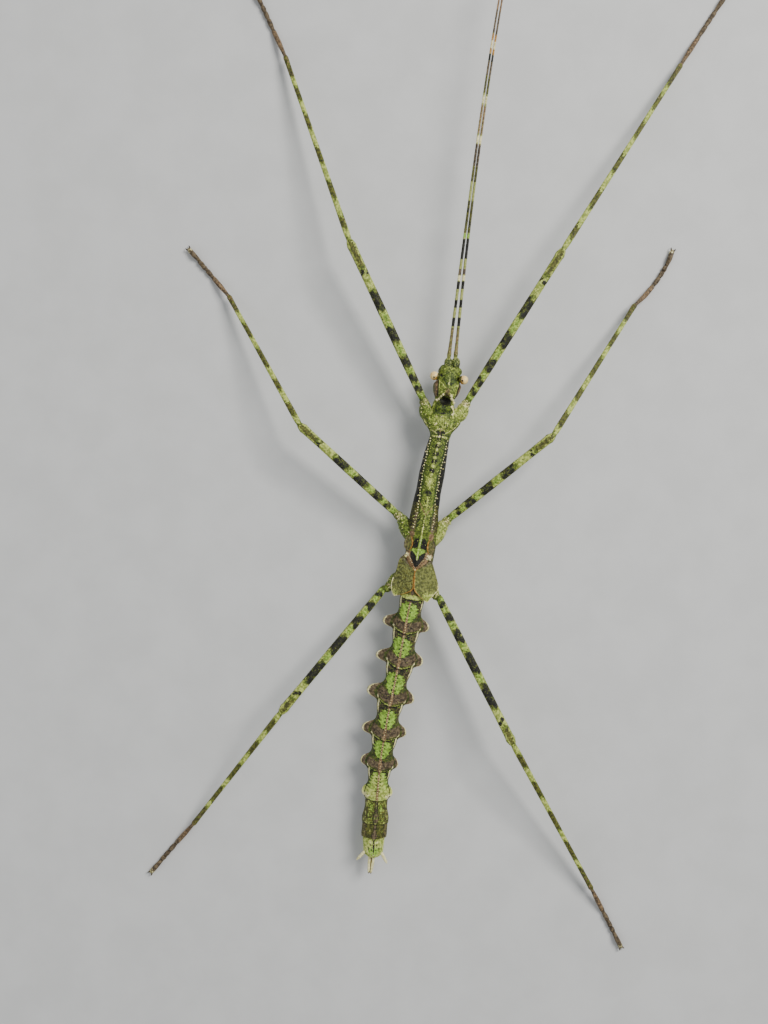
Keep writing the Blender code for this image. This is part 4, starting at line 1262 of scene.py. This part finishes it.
def unit_ball(rows, columns):
    """The points of a ball of radius 1, in rings from the top to the bottom."""
    polar, turns = np.linspace(0.02, math.pi - 0.02, rows)[:, None], circle(columns)
    return np.stack([np.sin(polar) * np.cos(turns), np.sin(polar) * np.sin(turns),
                     np.cos(polar) + 0.0 * turns], axis=-1)


EYE_BACK = 5.0
EYE_SWELL = 1.08
# the skin round an eye: place from the middle of the eye and width, in eye radii
EYE_COLLAR = ((-1.15, 0.50), (-0.90, 0.72), (-0.70, 0.80), (-0.52, 0.80), (-0.45, 0.60))
# which way the dark spot on an eye lies: to the right and to the rear, as shares of the way up
PUPILS = {"left": (-0.02, 0.52), "right": (-0.35, 0.42)}


def make_eye(side, material):
    """A glossy ball with a dark false pupil on top and a brownish rim where it meets the head."""
    name = "eye_" + side
    points = corner_points(name)
    right, ahead = AXIS.right(EYE_BACK), AXIS.ahead(EYE_BACK)
    outward = right * SIDES[side]
    centre, radius = sphere_of(points[np.argsort(points @ outward)[len(points) // 3:]])
    radius = radius * EYE_SWELL
    ball = unit_ball(40, 56)
    aside, rearward = PUPILS[side]
    pupil = unit(UP + right * aside - ahead * rearward)
    from_pupil = np.degrees(np.arccos(np.clip(ball @ pupil, -1, 1)))
    from_head = np.degrees(np.arccos(np.clip(ball @ unit(-outward * 0.8 - ahead * 0.6), -1, 1)))
    fields = {
        "dark": fade(from_pupil / 13.0),
        "orange": np.maximum(fade(from_pupil / 24.0) * 0.60, fade(from_head / 78.0) * 0.80),
        "pink": fade(from_head / 88.0) * 0.80,
    }
    turns = circle(56)[:, None]
    around = ahead * np.cos(turns) + UP * np.sin(turns)
    collar = [centre + (outward * place + around * width) * radius for place, width in EYE_COLLAR]
    shells = [tube_shell(centre + ball * radius, fields),
              tube_shell(np.array(collar), {"olive": 1.0, "pink": 0.42})]
    return make_piece("eye_ball_" + side, shells, material, [name])


# the feeler's bands, from the collar outwards: start, end, field and strength
FEELER_BANDS = (
    (0.0, 9.5, "olive", 0.56), (0.4, 9.5, "pale", 0.42), (0.4, 9.5, "pink", 0.48), (9.6, 12.4, "dark", 1.0),
    (15.4, 18.0, "dark", 0.85), (21.3, 23.8, "dark", 0.95), (23.9, 25.7, "cream", 0.75),
    (25.8, 27.6, "brown", 1.0), (30.6, 37.2, "dark", 0.72), (37.3, 38.8, "bright", 0.7),
    (38.8, 49.0, "olive", 0.75), (41.0, 43.0, "dark", 0.48), (45.0, 47.5, "dark", 0.48),
    (54.8, 59.6, "olive", 0.9), (59.6, 66.6, "brown", 1.0), (59.6, 66.6, "dark", 0.44),
    (66.7, 69.4, "cream", 0.7), (69.4, 79.0, "pink", 0.56), (79.0, 82.0, "cream", 0.56),
    (82.4, 87.8, "olive", 1.0), (87.8, 92.4, "brown", 1.0), (92.4, 94.6, "dark", 1.0),
    (94.6, 101.0, "orange", 0.8), (96.0, 99.0, "cream", 0.56), (101.0, 108.0, "brown", 1.0),
    (108.0, 114.0, "pink", 0.8), (114.0, 119.0, "brown", 1.0), (119.0, 132.0, "pink", 0.7),
)
# the base joint: share along it and half width
SCAPE = ((0.0, 0.90), (0.2, 1.16), (0.45, 1.34), (0.66, 1.30), (0.80, 1.05), (0.91, 0.66), (1.0, 0.55))
# how far its root lies to the animal's right of a straight line, and how far back it is, where 1 is the middle
SCAPE_BOW = {"left": 0.46, "right": -0.20}
SCAPE_ROOT = 1.9


def feeler_rings(name):
    """The middle of a feeler's base joint, then the centres and radii of the rings of its whip."""
    points = corner_points(name)
    way = unit(points[np.argmax(points[:, 1])] - points[np.argmin(points[:, 1])])
    points = points[np.argsort(points @ way)]
    groups = np.split(points, np.flatnonzero(np.diff(points @ way) > 1.0) + 1)
    rings = [groups[0][-6:]] + groups[1:]
    centres = np.array([ring.mean(axis=0) for ring in rings])
    radii = [np.linalg.norm(ring - centre, axis=1).mean() for ring, centre in zip(rings, centres)]
    return groups[0][:-6].mean(axis=0), centres, np.array(radii)


def scape_shell(base, collar, side):
    """The leaf-like base joint, from its middle and its front end."""
    turns, steps = circle(14), np.linspace(0.0, 1.0, 16)[:, None]
    root = collar + (base - collar) * SCAPE_ROOT
    bow = AXIS.right(0.0) * SCAPE_BOW[side]
    centres = root + (collar - root) * steps + bow * np.cos(steps * 1.57)
    tip = band(steps, 0.9, 2.0, 0.1)
    fields = {
        "deep": 0.54 - 0.2 * tip,
        "bright": 0.32,
        "pale": np.maximum(np.abs(np.sin(turns)) ** 8 * 0.25, tip * 0.6),
        "dark": 0.30 + 0.22 * band(steps, -1.0, 0.25, 0.2),
    }
    return tube_shell(round_rings(centres, table(SCAPE, steps), turns, flatten=0.62), fields)


def whip_shell(corners, corner_radii):
    """A long banded whip of many short joints, each a little thicker before its end."""
    along, centres = smooth_path(corners, 0.42)
    radius = np.interp(along, path_lengths(corners), corner_radii)
    bulb = 1.0 + 0.22 * np.exp(-((along - 1.0) / 0.7) ** 2)
    joint_length = 1.1 + 1.3 * smoothstep(along / 20.0)
    phase = np.cumsum(np.gradient(along) / joint_length) % 1.0
    swell = 1.0 + 0.10 * np.exp(-((phase - 0.93) / 0.06) ** 2) - 0.08 * np.exp(-((phase - 0.04) / 0.05) ** 2)
    paint = Paint((len(along), 1))
    for start, end, field, strength in FEELER_BANDS:
        paint.add(field, band(along, start, end, 0.35)[:, None], strength)
    return tube_shell(round_rings(centres, (radius * bulb * swell)[:, None], circle(10)), paint.fields)


def make_feeler(side, material):
    name = "antenna_" + side
    base, whip, whip_radii = feeler_rings(name)
    shells = [scape_shell(base, whip[0], side), whip_shell(whip, whip_radii)]
    return make_piece("feeler_" + side, shells, material, [name])


# share along the lip and jaws, and of their full size across and down
JAW_WIDTH = ((0.0, 0.45), (0.06, 0.62), (0.2, 0.9), (0.35, 1.0), (0.6, 0.98), (0.85, 0.8), (1.0, 0.55))
JAW_DEPTH = ((0.0, 0.5), (0.06, 0.7), (0.2, 0.95), (0.35, 1.0), (0.6, 0.95), (0.85, 0.8), (1.0, 0.6))


def make_jaws(material):
    """The lip and the jaws, a grooved wedge under the front of the head."""
    points = corner_points("mouthparts")
    ahead, right = AXIS.ahead(2.5), AXIS.right(2.5)
    front, hind = (points @ ahead).max(), (points @ ahead).min()
    middle = points.mean(axis=0)
    low, high = points[:, 2].min(), points[:, 2].max()
    half = np.abs((points - middle) @ right).max()
    turns, steps = circle(28), np.linspace(0.0, 1.0, 26)[:, None]
    sine, cosine = np.sin(turns), np.cos(turns)
    groove = 1.0 - 0.22 * np.exp(-(sine / 0.16) ** 2) * (cosine < 0)
    groove = groove - 0.10 * np.exp(-((np.abs(sine) - 0.72) / 0.10) ** 2) * (cosine < 0)
    drop = np.where(cosine > 0, 0.5 * cosine, cosine * table(JAW_DEPTH, steps) * (high - low)) * groove
    centres = middle + ahead * (front + (hind - front) * steps - middle @ ahead)
    centres[:, 2] = high
    out = sine * table(JAW_WIDTH, steps) * half
    rings = centres[:, None, :] + right * out[..., None] + UP * drop[..., None]
    fields = {
        "brown": 0.55,
        "pale": band(steps, -1.0, 0.22, 0.06) * 0.62,
        "dark": np.maximum(np.exp(-(sine / 0.10) ** 2), band(steps, 0.2, 0.27, 0.04)) * 0.9,
    }
    return make_piece("jaws", [tube_shell(rings, fields)], material, ["mouthparts"])


def make_palp(side, material):
    """A palp of four short joints beside the mouth."""
    name = "palp_" + side
    centres, radii = ring_centres(name, 6, [0.0, 0.0, -1.0])
    along, path = smooth_path(centres, 0.12)
    share = along / along[-1]
    joints = 1.0 + 0.18 * np.cos(share * 4.0 * 2.0 * math.pi + math.pi)
    radius = np.interp(share, np.linspace(0, 1, len(radii)), radii) * joints
    radius = radius * np.sqrt(np.clip((along[-1] - along) / 0.4, 0.05, 1.0))
    rings = round_rings(path, radius[:, None], circle(12))
    shell = tube_shell(rings, {"cream": 0.42, "brown": 0.55})
    return make_piece("mouth_palp_" + side, [shell], material, [name])


# ================================================================ wing pads


# the pads seen from above, as (back, out): inner edge from the front to the tip, then the outer edge
HIND_PAD_EDGES = {
    "left": (
        ((62.9, -4.4), (64.8, -2.8), (66.5, -0.75), (69.0, -0.75), (72.3, -0.45), (73.9, -2.4), (75.2, -5.3)),
        ((61.9, -4.9), (63.6, -6.1), (67.1, -6.5), (69.7, -7.2), (72.0, -7.4), (73.9, -6.9), (75.4, -5.9)),
    ),
    "right": (
        ((62.7, 3.1), (64.6, 1.6), (66.4, -0.70), (69.0, -0.62), (72.3, -0.1), (74.1, 1.9), (75.6, 4.2)),
        ((61.7, 3.6), (64.0, 4.7), (67.3, 6.3), (70.5, 7.6), (71.6, 7.5), (73.3, 6.3), (75.7, 4.8)),
    ),
}
FORE_PAD_EDGES = {
    "left": (
        ((55.6, -3.9), (56.6, -3.1), (58.0, -2.75), (59.4, -2.9), (60.4, -3.6)),
        ((55.8, -4.8), (57.0, -5.3), (58.4, -5.5), (59.7, -5.2), (60.6, -4.4)),
    ),
    "right": (
        ((55.4, 2.7), (56.4, 2.0), (58.0, 1.7), (59.6, 2.0), (60.6, 2.7)),
        ((55.6, 3.5), (57.0, 4.1), (58.4, 4.35), (59.8, 4.1), (60.7, 3.4)),
    ),
}
PAD_ROWS, PAD_COLUMNS = 60, 36
PAD_ARCH, PAD_FALL, PAD_THICKNESS = 3.1, 2.0, 0.45
# how far a pad lies below the arch
HIND_PAD_DROP = {"left": 0.60, "right": 0.35}
FORE_PAD_DROP = {"left": 0.95, "right": 0.75}
HIND_VEINS, FORE_VEINS = 9.0, 5.0
# how olive a hind pad is all over: the left pad is painted darker as painted shade, the right one lighter
PAD_SHADE = {"left": 0.40, "right": 0.24}

# over a pad: u from its front to its tip, v from its inner to its outer edge, and what lies on it
PadMap = namedtuple("PadMap", "u v vein cross rim")


def edge_curve(corners, count):
    """Evenly spread points on a smooth curve through (back, out) corners."""
    corners = np.array([(back, out, 0.0) for back, out in corners])
    places, points = smooth_path(corners, 0.1)
    wanted = np.linspace(0.0, places[-1], count)
    return np.stack([np.interp(wanted, places, points[:, axis]) for axis in (0, 1)], axis=-1)


def pad_faces():
    """Faces of the top and the underside of a pad, and of the rim between them."""
    count = PAD_ROWS * PAD_COLUMNS
    grid = np.arange(count).reshape(PAD_ROWS, PAD_COLUMNS)
    faces = []
    for row in range(PAD_ROWS - 1):
        for column in range(PAD_COLUMNS - 1):
            (a, b), (c, d) = grid[row:row + 2, column:column + 2].tolist()
            faces.append((a, b, d, c))
            faces.append((count + c, count + d, count + b, count + a))
    loop = [*grid[0], *grid[1:, -1], *grid[-1, -2::-1], *grid[-2:0:-1, 0]]
    loop = [int(corner) for corner in loop]
    for here, there in zip(loop, loop[1:] + loop[:1]):
        faces.append((here, there, count + there, count + here))
    return faces


def pad_surface(edges, drop, veins):
    """Points of an arched, veined, thin plate between its inner and its outer edge curve, and its map."""
    inner, outer = edge_curve(edges[0], PAD_ROWS), edge_curve(edges[1], PAD_ROWS)
    u, v = np.meshgrid(np.linspace(0.0, 1.0, PAD_ROWS), np.linspace(0.0, 1.0, PAD_COLUMNS), indexing="ij")
    flat = inner[:, None, :] * (1.0 - v[..., None]) + outer[:, None, :] * v[..., None]
    back, out = flat[..., 0], flat[..., 1]
    vein = np.exp(-(((v * veins + 0.35 * u) % 1.0 - 0.5) / 0.13) ** 2)
    cross = np.exp(-(((u * 13.0 + v * 3.0) % 1.0 - 0.5) / 0.16) ** 2)
    rim = np.minimum(np.minimum(v, 1.0 - v) * 7.0, np.minimum(u, 1.0 - u) * 9.0)
    wave = 0.10 * np.cos(u * 30.0) * np.clip(1.0 - rim, 0.0, 1.0)
    lift = PAD_ARCH - PAD_FALL * (np.abs(out + 0.4) / 7.1) ** 2 - drop - 0.5 * (1.0 - smoothstep(u / 0.15))
    lift = lift + 0.10 * vein + 0.04 * cross + wave + 0.12 * np.clip(1.0 - rim * 1.5, 0.0, 1.0)
    thick = PAD_THICKNESS * np.clip(0.25 + rim, 0.0, 1.0)
    top = AXIS.centre(back) + AXIS.right(back) * out[..., None] + UP * lift[..., None]
    points = np.vstack([top.reshape(-1, 3), (top - UP * thick[..., None]).reshape(-1, 3)])
    return points, PadMap(u, v, vein, cross, rim)


def make_pad(name, node, points, fields, material):
    """A pad with the same fields on its top and its underside."""
    both = {field: np.tile(values.ravel(), 2) for field, values in fields.items()}
    return make_piece(name, [(points, pad_faces(), both)], material, [node])


def make_hind_pad(side, material):
    points, on = pad_surface(HIND_PAD_EDGES[side], HIND_PAD_DROP[side], HIND_VEINS)
    rear = smoothstep((on.u - 0.62) / 0.3)
    # painted shade: the left pad gets more olive and less pale than the right
    shade = PAD_SHADE[side]
    inner_edge = fade(on.v * 22.0) * band(on.u, 0.24, 1.0, 0.05)
    front_rim = band(on.rim, -1.0, 0.10, 0.1) * (on.u < 0.35) * 0.6
    outer_edge = fade((1.0 - on.v) * 18.0) * smoothstep((on.u - 0.45) / 0.2) * 0.85
    pale_rear = rear * (0.20 * on.vein + 0.32 * smoothstep(on.v * 1.5) + 0.08)
    dark_front = 0.36 * (1.0 - smoothstep(on.u * 4.0))
    between_veins = 0.24 * (1.0 - on.vein) * (1.0 - on.cross) * (1.0 - rear)
    fields = {
        "olive": shade + 0.14 * (1.0 - on.vein) * (1.0 - 0.5 * on.cross),
        "brown": 0.58 * (1.0 - smoothstep((on.u - 0.02) / 0.34)) + 0.32 * smoothstep((0.30 - on.v) / 0.30),
        "pale": 0.52 - shade + pale_rear + 0.05 * on.cross,
        "orange": np.maximum(inner_edge, front_rim),
        "cream": np.maximum(outer_edge, past(on.u, 0.965, 0.02) * 0.8),
        "dark": dark_front + between_veins,
    }
    return make_pad("hind_pad_" + side, "hindwing_pad_" + side, points, fields, material)


def make_fore_pad(side, material):
    points, on = pad_surface(FORE_PAD_EDGES[side], FORE_PAD_DROP[side], FORE_VEINS)
    fields = {
        "olive": 0.62 - 0.3 * on.vein,
        "brown": 0.34 + 0.2 * on.v,
        "pale": 0.24 + 0.16 * on.vein,
        "orange": fade(on.v * 6.0) * 0.9,
        "dark": 0.36 * (1.0 - on.vein),
    }
    return make_pad("fore_pad_" + side, "forewing_pad_" + side, points, fields, material)


# ================================================================ tail and feet


# share along a prong and along a blade, and the radius there
PRONG_RADII = ((0.0, 0.44), (0.25, 0.50), (0.6, 0.48), (0.85, 0.40), (1.0, 0.22))
BLADE_RADII = ((0.0, 0.46), (0.5, 0.46), (0.85, 0.36), (0.96, 0.24), (1.0, 0.1))


def make_cercus(side, material):
    """A blunt, slightly bent cream prong."""
    name = "cercus_" + side
    points = corner_points(name)
    order = np.argsort(np.linalg.norm(points - AXIS.points[-1], axis=1))
    centres, _ = ring_centres(name, 8, points[order[-6:]].mean(axis=0) - points[order[:6]].mean(axis=0))
    centres[0] = centres[0] - (centres[1] - centres[0]) * 0.9
    along, path = smooth_path(centres, 0.12)
    share = (along / along[-1])[:, None]
    path = path + UP * (0.12 * np.sin(share * math.pi))
    rings = round_rings(path, table(PRONG_RADII, share), circle(14))
    shell = tube_shell(rings, {"cream": 0.8, "pale": band(share, -1.0, 0.3, 0.1)})
    return make_piece("tail_prong_" + side, [shell], material, [name])


def make_ovipositor(material):
    """Two slim blades side by side that show beyond the tail, and a core between them."""
    points = corner_points("ovipositor")
    order = np.argsort(points @ -AXIS.ahead(AXIS.length))
    start, end = points[order[:12]].mean(axis=0), points[order[-12:]].mean(axis=0)
    start = start - (end - start) * 0.12
    run = end - start
    right = unit(np.cross(run, UP))
    steps = np.linspace(0.0, 1.0, 40)[:, None]
    tip = band(steps, 0.9, 2.0, 0.04)
    shells = []
    for side, longer in ((-1, 0.0), (1, -0.0075)):
        path = start + run * (steps * (1.0 + longer)) + right * (side * (0.62 - 0.28 * steps ** 2))
        rings = round_rings(path, table(BLADE_RADII, steps), circle(14), flatten=1.25)
        shells.append(tube_shell(rings, {"cream": 0.62 - 0.2 * tip, "pink": 0.3, "brown": tip * 0.8}))
    core = start + run * np.linspace(0.0, 0.93, 20)[:, None]
    shells.append(tube_shell(round_rings(core, 0.26, circle(8)), {"brown": 0.9}))
    return make_piece("egg_laying_blades", shells, material, ["ovipositor"])


def make_claws(leg, key, material):
    """Two curved hooks and the pad between them at the end of a foot."""
    ahead = unit(np.array([leg.ahead[0], leg.ahead[1], 0.0]))
    right = np.cross(ahead, UP)
    root = leg.toe - ahead * 0.25
    steps = np.linspace(0.0, 1.0, 18)[:, None]
    shells = []
    for side in (-1, 1):
        out = side * (0.18 + 0.55 * np.sin(steps * 1.9))
        path = root + right * out + ahead * (1.75 * steps ** 0.8)
        path[:, 2] = (0.75 + 0.45 * np.sin(steps * math.pi) - 0.42 * steps ** 2)[:, 0]
        rings = round_rings(path, 0.27 * (1.0 - steps) ** 0.7 + 0.05, circle(9))
        shells.append(tube_shell(rings, {"brown": 0.8, "dark": steps * 1.1}))
    steps = np.linspace(0.0, 1.0, 14)[:, None]
    path = root + ahead * (steps * 1.15)
    path[:, 2] = (0.62 - 0.1 * steps)[:, 0]
    radius = 0.5 * np.sqrt(np.clip(np.sin(0.35 + steps * 2.6), 0.02, 1.0))
    rings = round_rings(path, radius, circle(12), flatten=0.8)
    rings[..., 2] = np.maximum(rings[..., 2], 0.02)
    shells.append(tube_shell(rings, {"cream": 0.5, "brown": 0.6}))
    return make_piece("hooks_" + key, shells, material, ["claws_" + key])


# ================================================================ materials


def add_node(tree, kind, **settings):
    made = tree.nodes.new(kind)
    for name, value in settings.items():
        setattr(made, name, value)
    return made


def noise(tree, scale, detail=3.0, roughness=0.55):
    """A fine pattern fixed to its piece, as a value about 0.5."""
    place = add_node(tree, "ShaderNodeTexCoord")
    pattern = add_node(tree, "ShaderNodeTexNoise")
    pattern.inputs["Scale"].default_value = scale
    pattern.inputs["Detail"].default_value = detail
    pattern.inputs["Roughness"].default_value = roughness
    tree.links.new(place.outputs["Object"], pattern.inputs["Vector"])
    return pattern.outputs["Fac"]


def remap(tree, value, low, high, to_low=0.0, to_high=1.0):
    """A value eased from one range into another."""
    ranged = add_node(tree, "ShaderNodeMapRange", interpolation_type="SMOOTHSTEP")
    for name, number in (("From Min", low), ("From Max", high), ("To Min", to_low), ("To Max", to_high)):
        ranged.inputs[name].default_value = number
    tree.links.new(value, ranged.inputs["Value"])
    return ranged.outputs["Result"]


def math_node(tree, operation, *values):
    made = add_node(tree, "ShaderNodeMath", operation=operation)
    for socket, value in zip(made.inputs, values):
        if isinstance(value, (int, float)):
            socket.default_value = value
        else:
            tree.links.new(value, socket)
    return made.outputs["Value"]


def mix(tree, share, first, second):
    """A colour between two, each a colour or another node's output."""
    made = add_node(tree, "ShaderNodeMix", data_type="RGBA")
    tree.links.new(share, made.inputs["Factor"])
    for socket, value in ((made.inputs[6], first), (made.inputs[7], second)):
        if isinstance(value, tuple):
            socket.default_value = (*value, 1.0)
        else:
            tree.links.new(value, socket)
    return made.outputs[2]


def bump(tree, height, strength, distance_mm):
    made = add_node(tree, "ShaderNodeBump")
    made.inputs["Strength"].default_value = strength
    made.inputs["Distance"].default_value = distance_mm * MM
    tree.links.new(height, made.inputs["Height"])
    return made.outputs["Normal"]


def new_material(name, roughness, specular=0.32):
    material = bpy.data.materials.new(name)
    material.use_nodes = True
    shader = material.node_tree.nodes["Principled BSDF"]
    shader.inputs["Roughness"].default_value = roughness
    shader.inputs["Specular IOR Level"].default_value = specular
    return material, material.node_tree, shader


# scales of the fine patterns, in repeats to the metre
MOTTLE, RAGGED_EDGE, SHEEN, PEBBLES, GRIT, FLOOR_CLOUDS = 1300.0, 2300.0, 1400.0, 2400.0, 5200.0, 60.0
# a field starts to be torn by the ragged edge here, and shows as it passes about a half
FIELD_START = (0.02, 0.2)
FIELD_SHOWS = (0.43, 0.57)


def cuticle(name, light, deep, roughness=0.5, grain=0.22, ragged=1.3):
    """Skin that shows the painted fields one over another, each with a ragged edge and its own mottling."""
    material, tree, shader = new_material(name, roughness)
    mottle = remap(tree, noise(tree, MOTTLE, 4.0), 0.41, 0.60)
    shake = math_node(tree, "MULTIPLY_ADD", noise(tree, RAGGED_EDGE, 4.0, 0.6), ragged, -0.5 * ragged)
    colour = mix(tree, mottle, deep, light)
    for field, bright, dim in LAYERS:
        painted = add_node(tree, "ShaderNodeAttribute", attribute_name=field)
        weight = remap(tree, painted.outputs["Fac"], *FIELD_START)
        edge = math_node(tree, "MULTIPLY_ADD", shake, weight, painted.outputs["Fac"])
        share = remap(tree, edge, *FIELD_SHOWS)
        colour = mix(tree, share, colour, mix(tree, mottle, dim, bright))
    tree.links.new(colour, shader.inputs["Base Color"])
    rough = remap(tree, noise(tree, SHEEN), 0.3, 0.7, roughness - 0.12, roughness + 0.14)
    tree.links.new(rough, shader.inputs["Roughness"])
    pebbles = add_node(tree, "ShaderNodeTexVoronoi")
    pebbles.inputs["Scale"].default_value = PEBBLES
    place = add_node(tree, "ShaderNodeTexCoord")
    tree.links.new(place.outputs["Object"], pebbles.inputs["Vector"])
    height = math_node(tree, "ADD", pebbles.outputs["Distance"], noise(tree, GRIT))
    tree.links.new(bump(tree, height, 0.6, grain), shader.inputs["Normal"])
    return material


# ================================================================ the stage


# where the camera is from the front of the head, and its lens
CAMERA_FROM_BROW = np.array([-21.6, -46.6, 290.5])
CAMERA_LENS = 32.26
# in metres: half the floor's side, and how far it lies under the feet
FLOOR_HALF, FLOOR_GAP = 3.0, 0.0001


def make_camera():
    data = bpy.data.cameras.new("camera")
    data.lens = CAMERA_LENS
    data.sensor_width = 36.0
    data.clip_start = 0.01
    data.clip_end = 10.0
    camera = add_object("camera", data)
    camera.location = (AXIS.points[0] + CAMERA_FROM_BROW) * MM
    bpy.context.scene.camera = camera


def area_light(name, place, size, power, colour):
    """A soft square lamp, in metres, that faces the middle of the animal."""
    data = bpy.data.lights.new(name, "AREA")
    data.size = size
    data.energy = power
    data.color = colour
    lamp = add_object(name, data)
    lamp.location = place
    lamp.rotation_mode = "QUATERNION"
    lamp.rotation_quaternion = (-Vector(place)).to_track_quat("-Z", "Y")


def make_stage():
    material, tree, shader = new_material("floor_matt", 0.85, 0.2)
    shade = remap(tree, noise(tree, FLOOR_CLOUDS), 0.3, 0.7)
    tree.links.new(mix(tree, shade, (0.60, 0.60, 0.585), (0.64, 0.64, 0.625)), shader.inputs["Base Color"])
    mesh = bpy.data.meshes.new("floor")
    half = FLOOR_HALF
    corners = [(-half, -half, 0.0), (half, -half, 0.0), (half, half, 0.0), (-half, half, 0.0)]
    mesh.from_pydata(corners, [], [(0, 1, 2, 3)])
    mesh.materials.append(material)
    floor = add_object("floor", mesh)
    floor.location.z = -FLOOR_GAP
    area_light("key", (0.55, 0.45, 0.75), 0.45, 12.0, (1.0, 0.985, 0.96))
    area_light("fill", (-0.7, -0.3, 0.6), 0.9, 2.2, (0.94, 0.97, 1.0))
    world = bpy.data.worlds.new("studio")
    world.use_nodes = True
    world.node_tree.nodes["Background"].inputs["Color"].default_value = (0.93, 0.96, 1.0, 1.0)
    world.node_tree.nodes["Background"].inputs["Strength"].default_value = 0.42
    bpy.context.scene.world = world


# ================================================================ the whole animal


def make_animal():
    skin_material = cuticle("green_skin", GREEN, GREEN_DEEP)
    horn = cuticle("feet_and_horn", (0.30, 0.24, 0.13), (0.18, 0.14, 0.07), roughness=0.38, ragged=0.7)
    feeler = cuticle("banded_feelers", (0.40, 0.42, 0.12), (0.26, 0.29, 0.07), roughness=0.42, ragged=0.8)
    pads = cuticle("wing_pads", (0.215, 0.230, 0.060), (0.090, 0.100, 0.026), roughness=0.34, grain=0.12)
    eyes = cuticle("eyes", (0.99, 0.80, 0.36), (0.96, 0.64, 0.24), roughness=0.26, grain=0.02, ragged=0.35)
    legs = {f"{pair}_{side}": Leg(f"{pair}_{side}") for pair in LEG_PAIRS for side in SIDES}
    shells = [body_shell()] + body_granules()
    covered = list(BODY)
    for key, leg in legs.items():
        shells += leg_shells(leg)
        covered += [f"{part}_{key}" for part in LEG_PARTS]
    make_piece("skin", shells, skin_material, covered)
    for side in SIDES:
        make_eye(side, eyes)
        make_feeler(side, feeler)
        make_palp(side, horn)
        make_hind_pad(side, pads)
        make_fore_pad(side, pads)
        make_cercus(side, horn)
    make_jaws(horn)
    make_ovipositor(horn)
    for key, leg in legs.items():
        make_claws(leg, key, horn)


make_camera()
make_stage()
make_animal()
